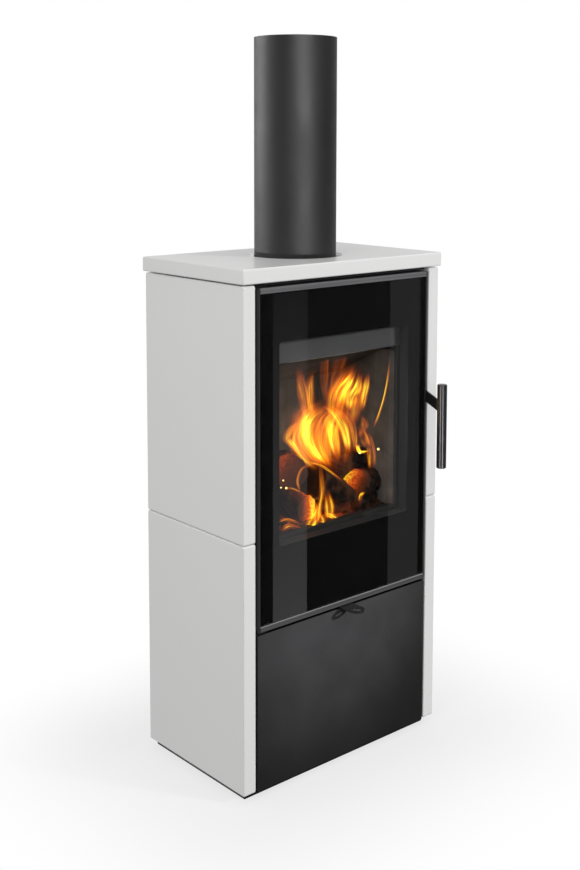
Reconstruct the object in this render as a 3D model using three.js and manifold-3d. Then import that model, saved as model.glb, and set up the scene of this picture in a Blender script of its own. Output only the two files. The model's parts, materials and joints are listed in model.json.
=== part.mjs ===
// Tiled wood stove: a steel firebox and casing clad with glazed ceramic slabs, with a
// glazed fire door, a latch handle, a lower cover, an air lever and a flue pipe.
// Millimetres, +Z up. The origin is on the floor, on the axis of the flue. X points to the
// right of somebody who stands in front of the stove, and the front faces -Y.

import * as THREE from 'three';
import { mergeVertices } from 'three/addons/utils/BufferGeometryUtils.js';
import Module from 'manifold-3d';

const wasm = await Module();
wasm.setup();

// ---------------------------------------------------------------- driving dimensions

const clearance = 0.3;           // gap between pieces that lie against each other

// ceramic cladding
const slabWidth = 477.4;
const slabFront = -144.6;
const slabBack = 144.8;
const stoveHeight = 918;         // top of the ceramic slab
const slabThickness = 25.9;
const slabHoleRadius = 85;
const tileOuter = 235.2;         // half width over the side tiles
const tileThickness = 26.5;
const tileDepth = 280;
const tileBottom = 14.8;
const tileJoint = 452.8;         // height of the joint between lower and upper tile
const tileTop = 889.6;
const tileGap = 0.8;
const arris = 2.6;               // rounded edges of the ceramic
const cornerRadius = 3.6;        // rounded corners of the ceramic, seen square on
const tileRim = 22;              // solid rim round the hollow back of a tile
const tileSkin = 13;

// casing
const casingHalf = 203.7;        // half width over the side panels
const sheet = 2.5;
const frameFront = -111.5;       // front face of the steel front frame
const frameBack = -108;
const casingBack = 118;
const casingTop = 888.6;
const trayHalf = 221;
const trayFront = -123;
const trayBack = 136;
const trayHeight = 14.4;
const traySheet = 2;

// fire door, hinged on the left
const doorHalf = 203.4;
const doorBottom = 296;
const doorTop = 884;
const doorFront = -141.4;
const doorBack = -116;
const trimWidth = 3.2;
const railHeight = 9.8;
const glassThickness = 4;
const webFront = -134.8;         // steel plate that backs the glass
const webBack = -131.8;
const windowHalf = 156.5;
const windowBottom = 436.5;
const windowTop = 789.5;
const hingeX = -196;
const hingeY = -132;
const pinRadius = 3;

// lower cover, hinged on the left
const coverHalf = 204.4;
const coverFront = -140;
const coverBottom = 15;
const coverTop = 291;
const coverDepth = 18;

// handle: a flat arm and a round bar that turn together on a cross shaft
const handleY = -122.5;
const handleZ = 655.2;
const shaftRadius = 5;
const armInner = 204.3;
const armThickness = 3.4;
const armWidth = 19.2;
const armSlope = THREE.MathUtils.degToRad(23);
const barY = -179.5;
const barRadius = 9.2;
const barBottom = 518;
const barTop = 676;

// air lever under the door
const leverTop = 294.8;
const leverThickness = 2.5;
const leverPivotY = -104;
const leverTip = -183;
const leverHalf = 15.5;

// firebox
const shellHalf = 184;
const shellWall = 3;
const shellBack = 76;
const shellBottom = 300;
const shellTop = 806;
const hearthTop = 433;           // top of the floor bricks
const liningInner = 153;
const liningFront = -104;
const liningRear = 43;           // face of the back lining
const baffleRearZ = 676.5;       // underside of the baffle where it meets the back lining
const baffleFrontY = -72;
const baffleFrontZ = 736;

// flue
const pipeRadius = 75;
const pipeWall = 2;
const pipeBottom = 896;
const pipeTop = 1310;
const collarTop = 940;

// ---------------------------------------------------------------- materials

const finish = (color, roughness, metalness) =>
  new THREE.MeshStandardMaterial({ color, roughness, metalness });

const glaze = finish(0xe4e3e2, 0.22, 0);
const charcoal = finish(0x2e2e30, 0.62, 0.3);
const blackSteel = finish(0x151516, 0.5, 0.3);
const brushed = finish(0x7b7b80, 0.38, 0.9);
const castIron = finish(0x2a2a2b, 0.7, 0.6);
const firebrick = finish(0x8a7f74, 0.92, 0);
const rope = finish(0x4a4846, 0.95, 0);
const zinc = finish(0x9a9a9c, 0.45, 0.8);
const magnetic = finish(0x3a3a3a, 0.6, 0.2);
const printedGlass = new THREE.MeshStandardMaterial({
  color: 0x0c0c0d, roughness: 0.06, metalness: 0, transparent: true, opacity: 0.6,
});

// ---------------------------------------------------------------- solids

// A closed geometry as a manifold solid, with its shared vertices merged.
function solid(geometry) {
  const plain = geometry.clone();
  plain.deleteAttribute('normal');
  plain.deleteAttribute('uv');
  const merged = mergeVertices(plain, 1e-4);
  const places = merged.getAttribute('position').array;
  const corners = merged.getIndex().array;
  const triangles = [];
  let volume = 0;
  for (let i = 0; i < corners.length; i += 3) {
    const [a, b, c] = [corners[i], corners[i + 1], corners[i + 2]];
    if (a === b || b === c || c === a) continue;
    triangles.push(a, b, c);
    const [p, q, r] = [a, b, c].map((n) => new THREE.Vector3().fromArray(places, n * 3));
    volume += p.dot(q.cross(r));
  }
  if (volume < 0) triangles.reverse();
  return new wasm.Manifold(new wasm.Mesh({
    numProp: 3,
    vertProperties: Float32Array.from(places),
    triVerts: Uint32Array.from(triangles),
  }));
}

function geometryOf(body) {
  const mesh = body.getMesh();
  const geometry = new THREE.BufferGeometry();
  const places = new THREE.BufferAttribute(Float32Array.from(mesh.vertProperties), 3);
  geometry.setAttribute('position', places);
  geometry.setIndex(new THREE.BufferAttribute(Uint32Array.from(mesh.triVerts), 1));
  geometry.computeVertexNormals();
  return geometry;
}

const join = (...bodies) => bodies.reduce((whole, body) => whole.add(body));
const cut = (body, ...tools) => tools.reduce((rest, tool) => rest.subtract(tool), body);

const [axisX, axisY, axisZ] = [[1, 0, 0], [0, 1, 0], [0, 0, 1]].map((v) => new THREE.Vector3(...v));
const planes = {
  xy: new THREE.Matrix4().makeBasis(axisX, axisY, axisZ),
  xz: new THREE.Matrix4().makeBasis(axisX, axisZ, axisY.clone().negate()),
  yz: new THREE.Matrix4().makeBasis(axisY, axisZ, axisX),
};

// A box between two corners, each axis given as [low, high].
function block([x0, x1], [y0, y1], [z0, z1]) {
  const geometry = new THREE.BoxGeometry(x1 - x0, y1 - y0, z1 - z0);
  return solid(geometry.translate((x0 + x1) / 2, (y0 + y1) / 2, (z0 + z1) / 2));
}

// Points along an arc.
function arc(x, y, radius, from, to, steps) {
  return [...Array(steps + 1).keys()].map((n) => {
    const angle = from + ((to - from) * n) / steps;
    return [x + radius * Math.cos(angle), y + radius * Math.sin(angle)];
  });
}

const circle = (x, y, radius, count = 40) => arc(x, y, radius, 0, 2 * Math.PI, count).slice(1);

// A rectangle, with rounded corners where `radius` is given.
function rounded([a0, a1], [b0, b1], radius = 0, steps = 3) {
  if (radius === 0) return [[a0, b0], [a1, b0], [a1, b1], [a0, b1]];
  const quarter = Math.PI / 2;
  return [
    ...arc(a1 - radius, b0 + radius, radius, -quarter, 0, steps),
    ...arc(a1 - radius, b1 - radius, radius, 0, quarter, steps),
    ...arc(a0 + radius, b1 - radius, radius, quarter, 2 * quarter, steps),
    ...arc(a0 + radius, b0 + radius, radius, 2 * quarter, 3 * quarter, steps),
  ];
}

// An outline in one of the planes, less its holes, extruded square to it from `low` to
// `high`. `round` gives all its edges a rounded arris.
function plate([outline, ...holes], plane, [low, high], round = 0) {
  const path = (points) => points.map(([a, b]) => new THREE.Vector2(a, b));
  const shape = new THREE.Shape(path(outline));
  shape.holes = holes.map((hole) => new THREE.Path(path(hole)));
  const geometry = new THREE.ExtrudeGeometry(shape, {
    depth: high - low - 2 * round,
    bevelEnabled: round > 0,
    bevelThickness: round,
    bevelSize: round,
    bevelOffset: -round,
    bevelSegments: 3,
  });
  geometry.translate(0, 0, plane === 'xz' ? -high + round : low + round);
  return solid(geometry.applyMatrix4(planes[plane]));
}

// A round bar along an axis: `at` gives the other two coordinates, in axis order.
function rod(axis, [a, b], radius, [low, high], sides = 24) {
  const geometry = new THREE.CylinderGeometry(radius, radius, high - low, sides);
  geometry.translate(0, (low + high) / 2, 0);
  if (axis === 'x') geometry.rotateZ(-Math.PI / 2).translate(0, a, b);
  if (axis === 'y') geometry.translate(a, 0, b);
  if (axis === 'z') geometry.rotateX(Math.PI / 2).translate(a, b, 0);
  return solid(geometry);
}

// A profile of [radius, height] points, closed on itself and turned round a vertical axis.
function turned(profile, [x, y] = [0, 0], sides = 48) {
  const points = [...profile, profile[0]].map(([r, z]) => new THREE.Vector2(r, z));
  const geometry = new THREE.LatheGeometry(points, sides);
  return solid(geometry.rotateX(Math.PI / 2).translate(x, y, 0));
}

const stove = new THREE.Group();

function add(name, body, material) {
  const mesh = new THREE.Mesh(geometryOf(body), material);
  mesh.name = name;
  stove.add(mesh);
}

const sides = [['left', -1], ['right', 1]];
const span = (side, near, far) => (side < 0 ? [-far, -near] : [near, far]);

// ---------------------------------------------------------------- base

const footPlaces = { front: -88, rear: 100 };
const footX = 175;
const footRadius = 11;
const footShank = 4;

function levellingFoot(x, y) {
  const profile = [
    [0, 0], [footRadius, 0], [footRadius, 4], [footShank, 7], [footShank, 32], [0, 32],
  ];
  return turned(profile, [x, y], 16);
}

function baseTray() {
  const wall = traySheet;
  const ledge = 60;              // flange that carries the casing and the tiles
  return cut(
    block([-trayHalf, trayHalf], [trayFront, trayBack], [0, trayHeight]),
    block(
      [-trayHalf + wall, trayHalf - wall], [trayFront + wall, trayBack - wall],
      [wall, trayHeight - wall],
    ),
    block(
      [-trayHalf + ledge, trayHalf - ledge], [trayFront + ledge, trayBack - ledge],
      [trayHeight - 2 * wall, trayHeight + 1],
    ),
    ...footHoles(footRadius + 1.5, [-1, wall + 1]),
    ...footHoles(footShank + 1, [trayHeight - 2 * wall, trayHeight + 1]),
  );
}

function footHoles(radius, reach) {
  return [-footX, footX].flatMap((x) => Object.values(footPlaces).map(
    (y) => rod('z', [x, y], radius, reach, 16),
  ));
}

add('base_tray', baseTray(), blackSteel);
for (const [side, sign] of sides) {
  for (const [end, y] of Object.entries(footPlaces)) {
    add(`levelling_foot_${end}_${side}`, levellingFoot(sign * footX, y), zinc);
  }
}

// ---------------------------------------------------------------- casing

const floorBottom = trayHeight + clearance;
const floorTop = floorBottom + 3;
const casingInner = casingHalf - sheet;
const spigotZ = 185;
const spigotRadius = 40;

add('body_floor', cut(
  block([-casingInner + 0.3, casingInner - 0.3], [frameBack + 0.3, casingBack - sheet - 0.3],
    [floorBottom, floorTop]),
  ...footHoles(footShank + 1, [floorBottom - 1, floorTop + 1]),
), charcoal);

for (const [side, sign] of sides) {
  const panel = block(
    span(sign, casingInner, casingHalf), [frameBack + clearance, casingBack], [floorBottom, casingTop],
  );
  add(`side_panel_${side}`, panel, charcoal);
}

const backPanelHalf = casingInner - clearance;
const backPanelFront = casingBack - sheet;
const backPanel = [
  rounded([-backPanelHalf, backPanelHalf], [floorBottom, casingTop]),
  circle(0, spigotZ, spigotRadius + 0.8),
];
add('back_panel', plate(backPanel, 'xz', [backPanelFront, casingBack]), charcoal);

const mouth = { half: 154, bottom: 314.5, top: 812 };
const lowerMouth = { half: 172, bottom: 44, top: 232 };
const latchSlot = { x: [187.6, 198.8], z: [630, 668] };
const leverSlot = { half: 14, bottom: 291.6, top: 295.8 };

function frontFrame() {
  const outline = [
    rounded([-casingHalf, casingHalf], [floorBottom, casingTop]),
    rounded([-mouth.half, mouth.half], [mouth.bottom, mouth.top], 6),
    rounded([-lowerMouth.half, lowerMouth.half], [lowerMouth.bottom, lowerMouth.top], 6),
    rounded(latchSlot.x, latchSlot.z, 3),
    rounded([-leverSlot.half, leverSlot.half], [leverSlot.bottom, leverSlot.top]),
  ];
  const tab = block([-10, 10], [frameBack - 1, leverPivotY + 4.4], [288.6, leverSlot.bottom]);
  const pivot = rod('z', [0, leverPivotY], pinRadius, [leverSlot.bottom - 1, leverTop + 1]);
  return join(plate(outline, 'xz', [frameFront, frameBack]), tab, pivot);
}
add('front_frame', frontFrame(), charcoal);

const topPlate = { half: 207, front: -128.6, bottom: casingTop + clearance, thick: 2.8, lip: 5.2 };

const convectionSlots = [-4, -3, 3, 4].map(
  (n) => rounded([n * 34 - 11, n * 34 + 11], [-60, 60], 4, 2),
);

function casingTopPlate() {
  const outline = [
    rounded([-topPlate.half, topPlate.half], [topPlate.front, casingBack]),
    circle(0, 0, pipeRadius + 5, 48),
    ...convectionSlots,
  ];
  const high = topPlate.bottom + topPlate.thick;
  const lip = block(
    [-topPlate.half, topPlate.half], [topPlate.front, topPlate.front + 2], [high - topPlate.lip, high - 1],
  );
  return join(plate(outline, 'xy', [topPlate.bottom, high]), lip);
}
add('top_plate', casingTopPlate(), charcoal);

// ---------------------------------------------------------------- ceramic cladding

const slab = [
  rounded([-slabWidth / 2, slabWidth / 2], [slabFront, slabBack], cornerRadius),
  circle(0, 0, slabHoleRadius, 64),
];
add('ceramic_top', plate(slab, 'xy', [stoveHeight - slabThickness, stoveHeight], arris), glaze);

const tileInner = tileOuter - tileThickness;
const tileHeights = {
  lower: [tileBottom, tileJoint - tileGap / 2],
  upper: [tileJoint + tileGap / 2, tileTop],
};
const half = tileDepth / 2;

// A side tile: a rounded slab with a hollow back that hangs over its rail.
function sideTile(sign, [bottom, top]) {
  const face = rounded([-half, half], [bottom, top], cornerRadius);
  const hollow = rounded([-half + tileRim, half - tileRim], [bottom + tileRim, top - tileRim], 8, 2);
  return cut(
    plate([face], 'yz', span(sign, tileInner, tileOuter), arris),
    plate([hollow], 'yz', span(sign, tileInner - 1, tileOuter - tileSkin)),
  );
}

// The folded rail behind a tile: screwed to the side panel, its lip reaches into the hollow.
function tileRail(sign, top) {
  const low = top - tileRim - 62;
  const profile = [
    [casingHalf + 0.4, low], [casingHalf + 2.4, low], [casingHalf + 2.4, low + 38],
    [tileInner + 5.5, low + 38], [tileInner + 5.5, low + 54], [tileInner + 3.5, low + 54],
    [tileInner + 3.5, low + 40], [casingHalf + 0.4, low + 40],
  ];
  const rail = plate([profile], 'xz', [-100, 100]);
  return sign < 0 ? rail.mirror([1, 0, 0]) : rail;
}

for (const [side, sign] of sides) {
  for (const [level, heights] of Object.entries(tileHeights)) {
    add(`tile_${side}_${level}`, sideTile(sign, heights), glaze);
    add(`tile_rail_${side}_${level}`, tileRail(sign, heights[1]), zinc);
  }
}

// ---------------------------------------------------------------- firebox

const shellInner = shellHalf - shellWall;
const shellRear = shellBack - shellWall;
const registerPitch = 24;
const registerSlots = [-1.5, -0.5, 0.5, 1.5].map((n) => n * registerPitch);
const registerY = [-62, 0];
const runnerHeight = 12;         // keeps the ash pan clear of the register, so that air gets past

function fireboxShell() {
  const outer = block([-shellHalf, shellHalf], [frameBack + clearance, shellBack], [shellBottom, shellTop]);
  const inner = block(
    [-shellInner, shellInner], [frameBack - 5, shellRear],
    [shellBottom + shellWall, shellTop - shellWall],
  );
  const flue = rod('z', [0, 0], pipeRadius - 2, [shellTop - 10, shellTop + 10], 48);
  const slots = registerSlots.map(
    (x) => block([x - 5, x + 5], registerY, [shellBottom - 1, shellBottom + shellWall + 1]),
  );
  const runners = sides.map(([, sign]) => block(
    span(sign, 112, 124), [-94, 48], [shellBottom + 1, shellBottom + shellWall + runnerHeight],
  ));
  return join(cut(outer, inner, flue, ...slots), ...runners);
}
add('firebox_shell', fireboxShell(), blackSteel);

const plateTop = 408;
const plateGap = clearance;
const ashHole = { half: 85, y: [-65, 5] };
const hearthPlate = [
  rounded([-shellInner + plateGap, shellInner - plateGap], [frameBack + 0.6, shellRear - plateGap]),
  rounded([-ashHole.half, ashHole.half], ashHole.y, 4),
];
add('hearth_plate', plate(hearthPlate, 'xy', [plateTop - 4, plateTop]), blackSteel);

const grate = { half: 94.5, y: [-75, 15], top: 421 };
const brickBottom = plateTop + clearance;
const hearthRear = liningRear + 26.7;
const hearthBricks = {
  left: [[-shellInner + 0.5, -grate.half - 0.8], [liningFront, hearthRear]],
  right: [[grate.half + 0.8, shellInner - 0.5], [liningFront, hearthRear]],
  front: [[-grate.half - 0.5, grate.half + 0.5], [liningFront, grate.y[0] - 0.5]],
  rear: [[-grate.half - 0.5, grate.half + 0.5], [grate.y[1] + 0.5, hearthRear]],
};
for (const [place, [x, y]] of Object.entries(hearthBricks)) {
  add(`hearth_brick_${place}`, block(x, y, [brickBottom, hearthTop]), firebrick);
}

function castGrate() {
  const count = 9;
  const pitch = 18;
  const slots = [...Array(count).keys()].map((n) => {
    const x = (n - (count - 1) / 2) * pitch;
    return rounded([x - 4.5, x + 4.5], [grate.y[0] + 13, grate.y[1] - 13], 4, 2);
  });
  const outline = rounded([-grate.half, grate.half], grate.y, 4);
  return plate([outline, ...slots], 'xy', [brickBottom, grate.top]);
}
add('grate', castGrate(), castIron);

const baffleSlope = (baffleFrontZ - baffleRearZ) / (liningRear - baffleFrontY);
const baffleUnder = (y) => baffleRearZ + (liningRear - y) * baffleSlope;
const liningBottom = hearthTop + clearance;

const sideLining = [
  [liningFront, liningBottom], [liningRear - clearance, liningBottom],
  [liningRear - clearance, baffleUnder(liningRear) - 0.4],
  [baffleFrontY, baffleFrontZ - 0.4], [liningFront, baffleFrontZ - 0.4],
];
for (const [side, sign] of sides) {
  const lining = plate([sideLining], 'yz', span(sign, liningInner, shellInner - 0.6));
  add(`lining_${side}`, lining, firebrick);
}

const liningOuterY = shellRear - 1;
const backLining = [
  [liningRear, liningBottom], [liningOuterY, liningBottom],
  [liningOuterY, baffleUnder(liningOuterY) - 0.4], [liningRear, baffleUnder(liningRear) - 0.4],
];
const liningHalf = shellInner - 0.6;
add('lining_back', plate([backLining], 'yz', [-liningHalf, liningHalf]), firebrick);

const baffleThickness = 20;
const baffleRearY = liningOuterY - 2;
const baffle = [
  [baffleFrontY, baffleFrontZ], [baffleRearY, baffleUnder(baffleRearY)],
  [baffleRearY, baffleUnder(baffleRearY) + baffleThickness],
  [baffleFrontY, baffleFrontZ + baffleThickness],
];
add('smoke_baffle', plate([baffle], 'yz', [-liningHalf, liningHalf]), firebrick);

// A folded sheet over the mouth that sends the combustion air down behind the glass.
const washBar = { half: 163, front: -113.9, rear: -98, bottom: 747.5, top: 824, sheet: 2 };
const washShelf = [
  [washBar.front, washBar.bottom], [washBar.rear, washBar.bottom],
  [washBar.rear, washBar.bottom + washBar.sheet],
  [washBar.front + washBar.sheet / 2, washBar.bottom + washBar.sheet],
];
add('air_wash_bar', join(
  plate([washShelf], 'yz', [-mouth.half + 0.8, mouth.half - 0.8]),
  block([-washBar.half, washBar.half], [washBar.front, washBar.front + washBar.sheet],
    [washBar.bottom, washBar.top]),
), blackSteel);

// A low cast angle at the front edge of the hearth: an upright web with a lip turned inwards.
const retainer = { top: 443, thick: 3, front: liningFront - 3.6, lip: liningFront + 9 };
const retainerSection = [
  [retainer.front, liningBottom], [retainer.front + retainer.thick, liningBottom],
  [retainer.front + retainer.thick, retainer.top - retainer.thick],
  [retainer.lip, retainer.top - retainer.thick], [retainer.lip, retainer.top],
  [retainer.front, retainer.top],
];
add('log_retainer', plate([retainerSection], 'yz', [-liningInner + 1, liningInner - 1]), castIron);

const panBottom = shellBottom + shellWall + runnerHeight + clearance;
const pan = { half: 138, y: [-96, 52], bottom: panBottom, top: 378, wall: 1.6, rim: 7 };
const panGrip = { half: 38, reach: 11, z: [338, 350], bar: 4 };

function ashPan() {
  const { half: w, y: [front, rear], bottom, top, wall, rim } = pan;
  const tub = cut(
    join(
      block([-w, w], [front, rear], [bottom, top]),
      block([-w - rim, w + rim], [front - 4, rear + rim], [top - wall, top]),
    ),
    block([-w + wall, w - wall], [front + wall, rear - wall], [bottom + wall, top + 1]),
  );
  const { half: g, reach, z: [low, high], bar } = panGrip;
  const grip = cut(
    block([-g, g], [front - reach, front + 0.5], [low, high]),
    block([-g + bar, g - bar], [front - reach + bar - 1, front], [low - 1, high + 1]),
  );
  return join(tub, grip);
}
add('ash_pan', ashPan(), zinc);

// ---------------------------------------------------------------- flue

const collarOuter = pipeRadius - pipeWall - clearance;
const collarInner = collarOuter - 4;
add('flue_collar', turned([
  [collarInner, shellTop - shellWall], [collarOuter, shellTop - shellWall],
  [collarOuter, shellTop + clearance], [collarOuter + 16, shellTop + clearance],
  [collarOuter + 16, shellTop + 3.3], [collarOuter, shellTop + 3.3],
  [collarOuter, collarTop], [collarInner, collarTop],
]), castIron);
add('flue_pipe', turned([
  [pipeRadius - pipeWall, pipeBottom], [pipeRadius, pipeBottom],
  [pipeRadius, pipeTop], [pipeRadius - pipeWall, pipeTop],
], [0, 0], 64), charcoal);

// ---------------------------------------------------------------- rear side and combustion air

const shield = { half: 198, y: [casingBack + clearance, 134.5], z: [64, 868], sheet: 1.6 };
const vents = { starts: [270, 665], rows: 6, pitch: 24, x: [35, 160], height: 7 };

function rearHeatShield() {
  const slots = vents.starts.flatMap((start) => sides.flatMap(
    ([, sign]) => [...Array(vents.rows).keys()].map((n) => {
      const low = start + n * vents.pitch;
      return rounded(span(sign, ...vents.x), [low, low + vents.height], 3.4, 1);
    }),
  ));
  const outline = [
    rounded([-shield.half, shield.half], shield.z, 3),
    circle(0, spigotZ, spigotRadius + 14),
    ...slots,
  ];
  const skin = plate(outline, 'xz', [shield.y[1] - shield.sheet, shield.y[1]]);
  const flanges = sides.map(([, sign]) => block(
    span(sign, shield.half - shield.sheet, shield.half), shield.y, [shield.z[0] + 4, shield.z[1] - 4],
  ));
  return join(skin, ...flanges);
}
add('rear_heat_shield', rearHeatShield(), charcoal);

const box = { half: 75, y: [-99, 112], z: [240, shellBottom - clearance], wall: 2 };
const duct = { half: 62, y: [82, 112], bottom: 128 };

function airBox() {
  const { half: w, y: [front, rear], z: [low, high], wall } = box;
  const hollow = join(
    block([-w + wall, w - wall], [front + wall, rear - wall], [low + wall, high + 1]),
    block(
      [-duct.half + wall, duct.half - wall], [duct.y[0] + wall, duct.y[1] - wall],
      [duct.bottom + wall, low + wall + 1],
    ),
  );
  const shell = cut(
    join(
      block([-w, w], [front, rear], [low, high]),
      block([-duct.half, duct.half], duct.y, [duct.bottom, low + 1]),
    ),
    hollow,
    block([-36, 36], [front - 1, front + wall + 1], [289, high + 1]),
    rod('y', [0, spigotZ], spigotRadius + 0.8, [duct.y[1] - 6, duct.y[1] + 6], 40),
  );
  const ledges = sides.map(([, sign]) => block(span(sign, 47, w - 1), [-92, -30], [292.6, 294.8]));
  return join(shell, ...ledges);
}
add('air_box', airBox(), zinc);

function airSpigot() {
  const collar = [circle(0, spigotZ, spigotRadius + 12), circle(0, spigotZ, spigotRadius - 2)];
  const tube = cut(
    rod('y', [0, spigotZ], spigotRadius, [98, 143], 40),
    rod('y', [0, spigotZ], spigotRadius - 2, [97, 144], 40),
  );
  return join(plate(collar, 'xz', [casingBack + clearance, casingBack + 2.3]), tube);
}
add('air_inlet_spigot', airSpigot(), charcoal);

// ---------------------------------------------------------------- hinge brackets and catches

const bracketX = [-206.2, -184.5];
const bracketFront = hingeY - 6;
const pinAt = [hingeX, hingeY];
const pinReach = 10;             // how far a pin goes into the door or the cover
const topTab = [885, casingTop];
const middleTab = [292.2, 294.8];
const bottomTab = [11.8, trayHeight - 0.2];

add('hinge_bracket_top', join(
  block(bracketX, [bracketFront, topPlate.front - 0.4], topTab),
  rod('z', pinAt, pinRadius, [doorTop - pinReach - 1, topTab[0] + 1]),
), blackSteel);
add('hinge_bracket_middle', join(
  block(bracketX, [bracketFront, frameFront - clearance], middleTab),
  block(bracketX, [frameFront - 3, frameFront - clearance], [middleTab[0] - 20.2, middleTab[1]]),
  rod('z', pinAt, pinRadius, [coverTop - pinReach + 3, doorBottom + pinReach]),
), blackSteel);
add('hinge_bracket_bottom', join(
  block(bracketX, [bracketFront, trayFront - clearance], bottomTab),
  block(bracketX, [trayFront - 2.6, trayFront - clearance], [2, bottomTab[1]]),
  rod('z', pinAt, pinRadius, [bottomTab[0] + 1, coverBottom + pinReach - 1]),
), blackSteel);

const hookTop = handleZ + 5.5;
const keeperY = [frameBack + clearance, -97];
const keeperRadius = (keeperY[1] - keeperY[0]) / 2;
const keeperFoot = hookTop + 0.5 + keeperRadius;
const keeperMiddle = (keeperY[0] + keeperY[1]) / 2;
const keeperTop = 684;
const keeper = [
  [keeperY[0], keeperTop],
  ...arc(keeperMiddle, keeperFoot, keeperRadius, Math.PI, 2 * Math.PI, 10),
  [keeperY[1], keeperTop],
];
add('latch_keeper', plate([keeper], 'yz', [187.6, 199.4]), castIron);

const magnet = { x: [176, 200], front: -121, z: [158, 182], foot: 10 };
add('magnet_catch', join(
  block(magnet.x, [magnet.front, frameFront - clearance], magnet.z),
  block(magnet.x, [frameFront - 2.5, frameFront - clearance],
    [magnet.z[0] - magnet.foot, magnet.z[1] + magnet.foot]),
), magnetic);

// ---------------------------------------------------------------- fire door

const trimInner = doorHalf - trimWidth;
const rib = { outer: 187.5, inner: 172.5, low: 300.6, high: 877.4 };
const groove = { outer: 184.8, inner: 175.2, floor: -127, low: 303.3, high: 874.7 };
const ribBack = -118;

// A rectangular ring between two half widths, extruded along Y.
function ring(outer, inner, [low, high], [front, back], radius, round = 0) {
  const edge = outer - inner;
  return plate([
    rounded([-outer, outer], [low, high], radius + edge),
    rounded([-inner, inner], [low + edge, high - edge], radius),
  ], 'xz', [front, back], round);
}

function doorFrame() {
  const lip = 3;
  const window = rounded([-windowHalf, windowHalf], [windowBottom, windowTop], 5);
  const web = rounded([-trimInner - 0.5, trimInner + 0.5], [doorBottom, doorTop]);
  const windowLip = rounded(
    [-windowHalf - lip, windowHalf + lip], [windowBottom - lip, windowTop + lip], 5 + lip,
  );
  const chamfer = 1.2;
  const trim = [
    [trimInner, doorFront], [doorHalf - chamfer, doorFront], [doorHalf, doorFront + chamfer],
    [doorHalf, doorBack], [trimInner, doorBack],
  ];
  const rightTrim = plate([trim], 'xy', [doorBottom, doorTop]);
  const flange = (low) => block(
    [-trimInner - 0.5, trimInner + 0.5], [webFront, doorBack], [low, low + trimWidth],
  );
  const boss = (low) => block([-trimInner - 0.5, -190.5], [-136.6, -127.5], [low, low + 13]);
  const body = join(
    plate([web, window], 'xz', [webFront, webBack]),
    plate([windowLip, window], 'xz', [webFront, doorBack]),
    ring(rib.outer, rib.inner, [rib.low, rib.high], [webBack - 1, ribBack], 6),
    rightTrim, rightTrim.mirror([1, 0, 0]),
    flange(doorBottom), flange(doorTop - trimWidth),
    boss(doorBottom), boss(doorTop - 13),
  );
  return cut(
    body,
    ring(groove.outer, groove.inner, [groove.low, groove.high], [groove.floor, ribBack + 1], 8),
    rod('z', pinAt, pinRadius + 0.35, [doorBottom - 1, doorBottom + 11.5]),
    rod('z', pinAt, pinRadius + 0.35, [doorTop - 11.5, doorTop + 1]),
    rod('x', [handleY, handleZ], shaftRadius + 0.3, [trimInner - 1, doorHalf + 1]),
  );
}
add('door_frame', doorFrame(), charcoal);

const glassHalf = trimInner - 0.6;
const glassSpan = [doorBottom + railHeight + 0.3, doorTop - railHeight - 0.3];
const pane = rounded([-glassHalf, glassHalf], glassSpan, 2);
const paneBack = doorFront + glassThickness;
add('door_glass', plate([pane], 'xz', [doorFront, paneBack], 0.6), printedGlass);

const gasket = [14, 4].map((edge) => rounded(
  [-windowHalf - edge, windowHalf + edge], [windowBottom - edge, windowTop + edge], edge,
));
add('glass_gasket', plate(gasket, 'xz', [paneBack + clearance, webFront - clearance]), rope);

add('door_rope_seal', ring(
  groove.outer - 0.4, groove.inner + 0.4, [groove.low + 0.4, groove.high - 0.4],
  [groove.floor + 0.4, frameFront - 0.5], 8, 3.4,
), rope);

const railFront = doorFront - 0.8;
const railSection = (low) => {
  const high = low + railHeight;
  return [
    [railFront, low + 1], [railFront + 1, low], [webFront - 2.2, low],
    [webFront - 2.2, high], [railFront + 1, high], [railFront, high - 1],
  ];
};
const railSpan = [-trimInner + 0.4, trimInner - 0.4];
add('door_rail_top', plate([railSection(doorTop - railHeight)], 'yz', railSpan), brushed);
add('door_rail_bottom', plate([railSection(doorBottom)], 'yz', railSpan), brushed);

const bearing = { x: [195.6, trimInner - 0.3], half: 9 };
add('handle_bearing', cut(
  block(bearing.x, [webBack + clearance, handleY + 6.5 + 1],
    [handleZ - bearing.half, handleZ + bearing.half]),
  rod('x', [handleY, handleZ], shaftRadius + 0.3, [bearing.x[0] - 1, bearing.x[1] + 1]),
), zinc);

// ---------------------------------------------------------------- handle

const hookSpan = [190.4, 194.4];
add('handle_shaft', rod('x', [handleY, handleZ], shaftRadius, [189.6, armInner - clearance]), blackSteel);

function latchHook() {
  const hub = 8.6;
  const waist = 5.5;
  const nose = 4;
  const reach = -99;
  const turn = Math.asin(waist / hub);
  return plate([
    [
      ...arc(handleY, handleZ, hub, turn, 2 * Math.PI - turn, 16),
      ...arc(reach - nose, handleZ - waist + nose, nose, -Math.PI / 2, 0, 4),
      ...arc(reach - nose, hookTop - nose, nose, 0, Math.PI / 2, 4),
    ],
    circle(handleY, handleZ, shaftRadius + 0.3, 24),
  ], 'yz', hookSpan);
}
add('latch_hook', latchHook(), castIron);

// The flat arm: a straight strip with a round end on the pivot, sloping down to the bar.
function armOutline(margin) {
  const radius = armWidth / 2 + margin;
  const length = (handleY - barY - 3.5 + margin) / Math.cos(armSlope);
  const strip = [
    ...arc(0, 0, radius, Math.PI / 2, -Math.PI / 2, 14), [-length, -radius], [-length, radius],
  ];
  const [cos, sin] = [Math.cos(armSlope), Math.sin(armSlope)];
  return strip.map(([a, b]) => [handleY + a * cos - b * sin, handleZ + a * sin + b * cos]);
}
const armSpan = [armInner, armInner + armThickness];
add('handle_arm', plate([armOutline(0)], 'yz', armSpan), blackSteel);

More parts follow.
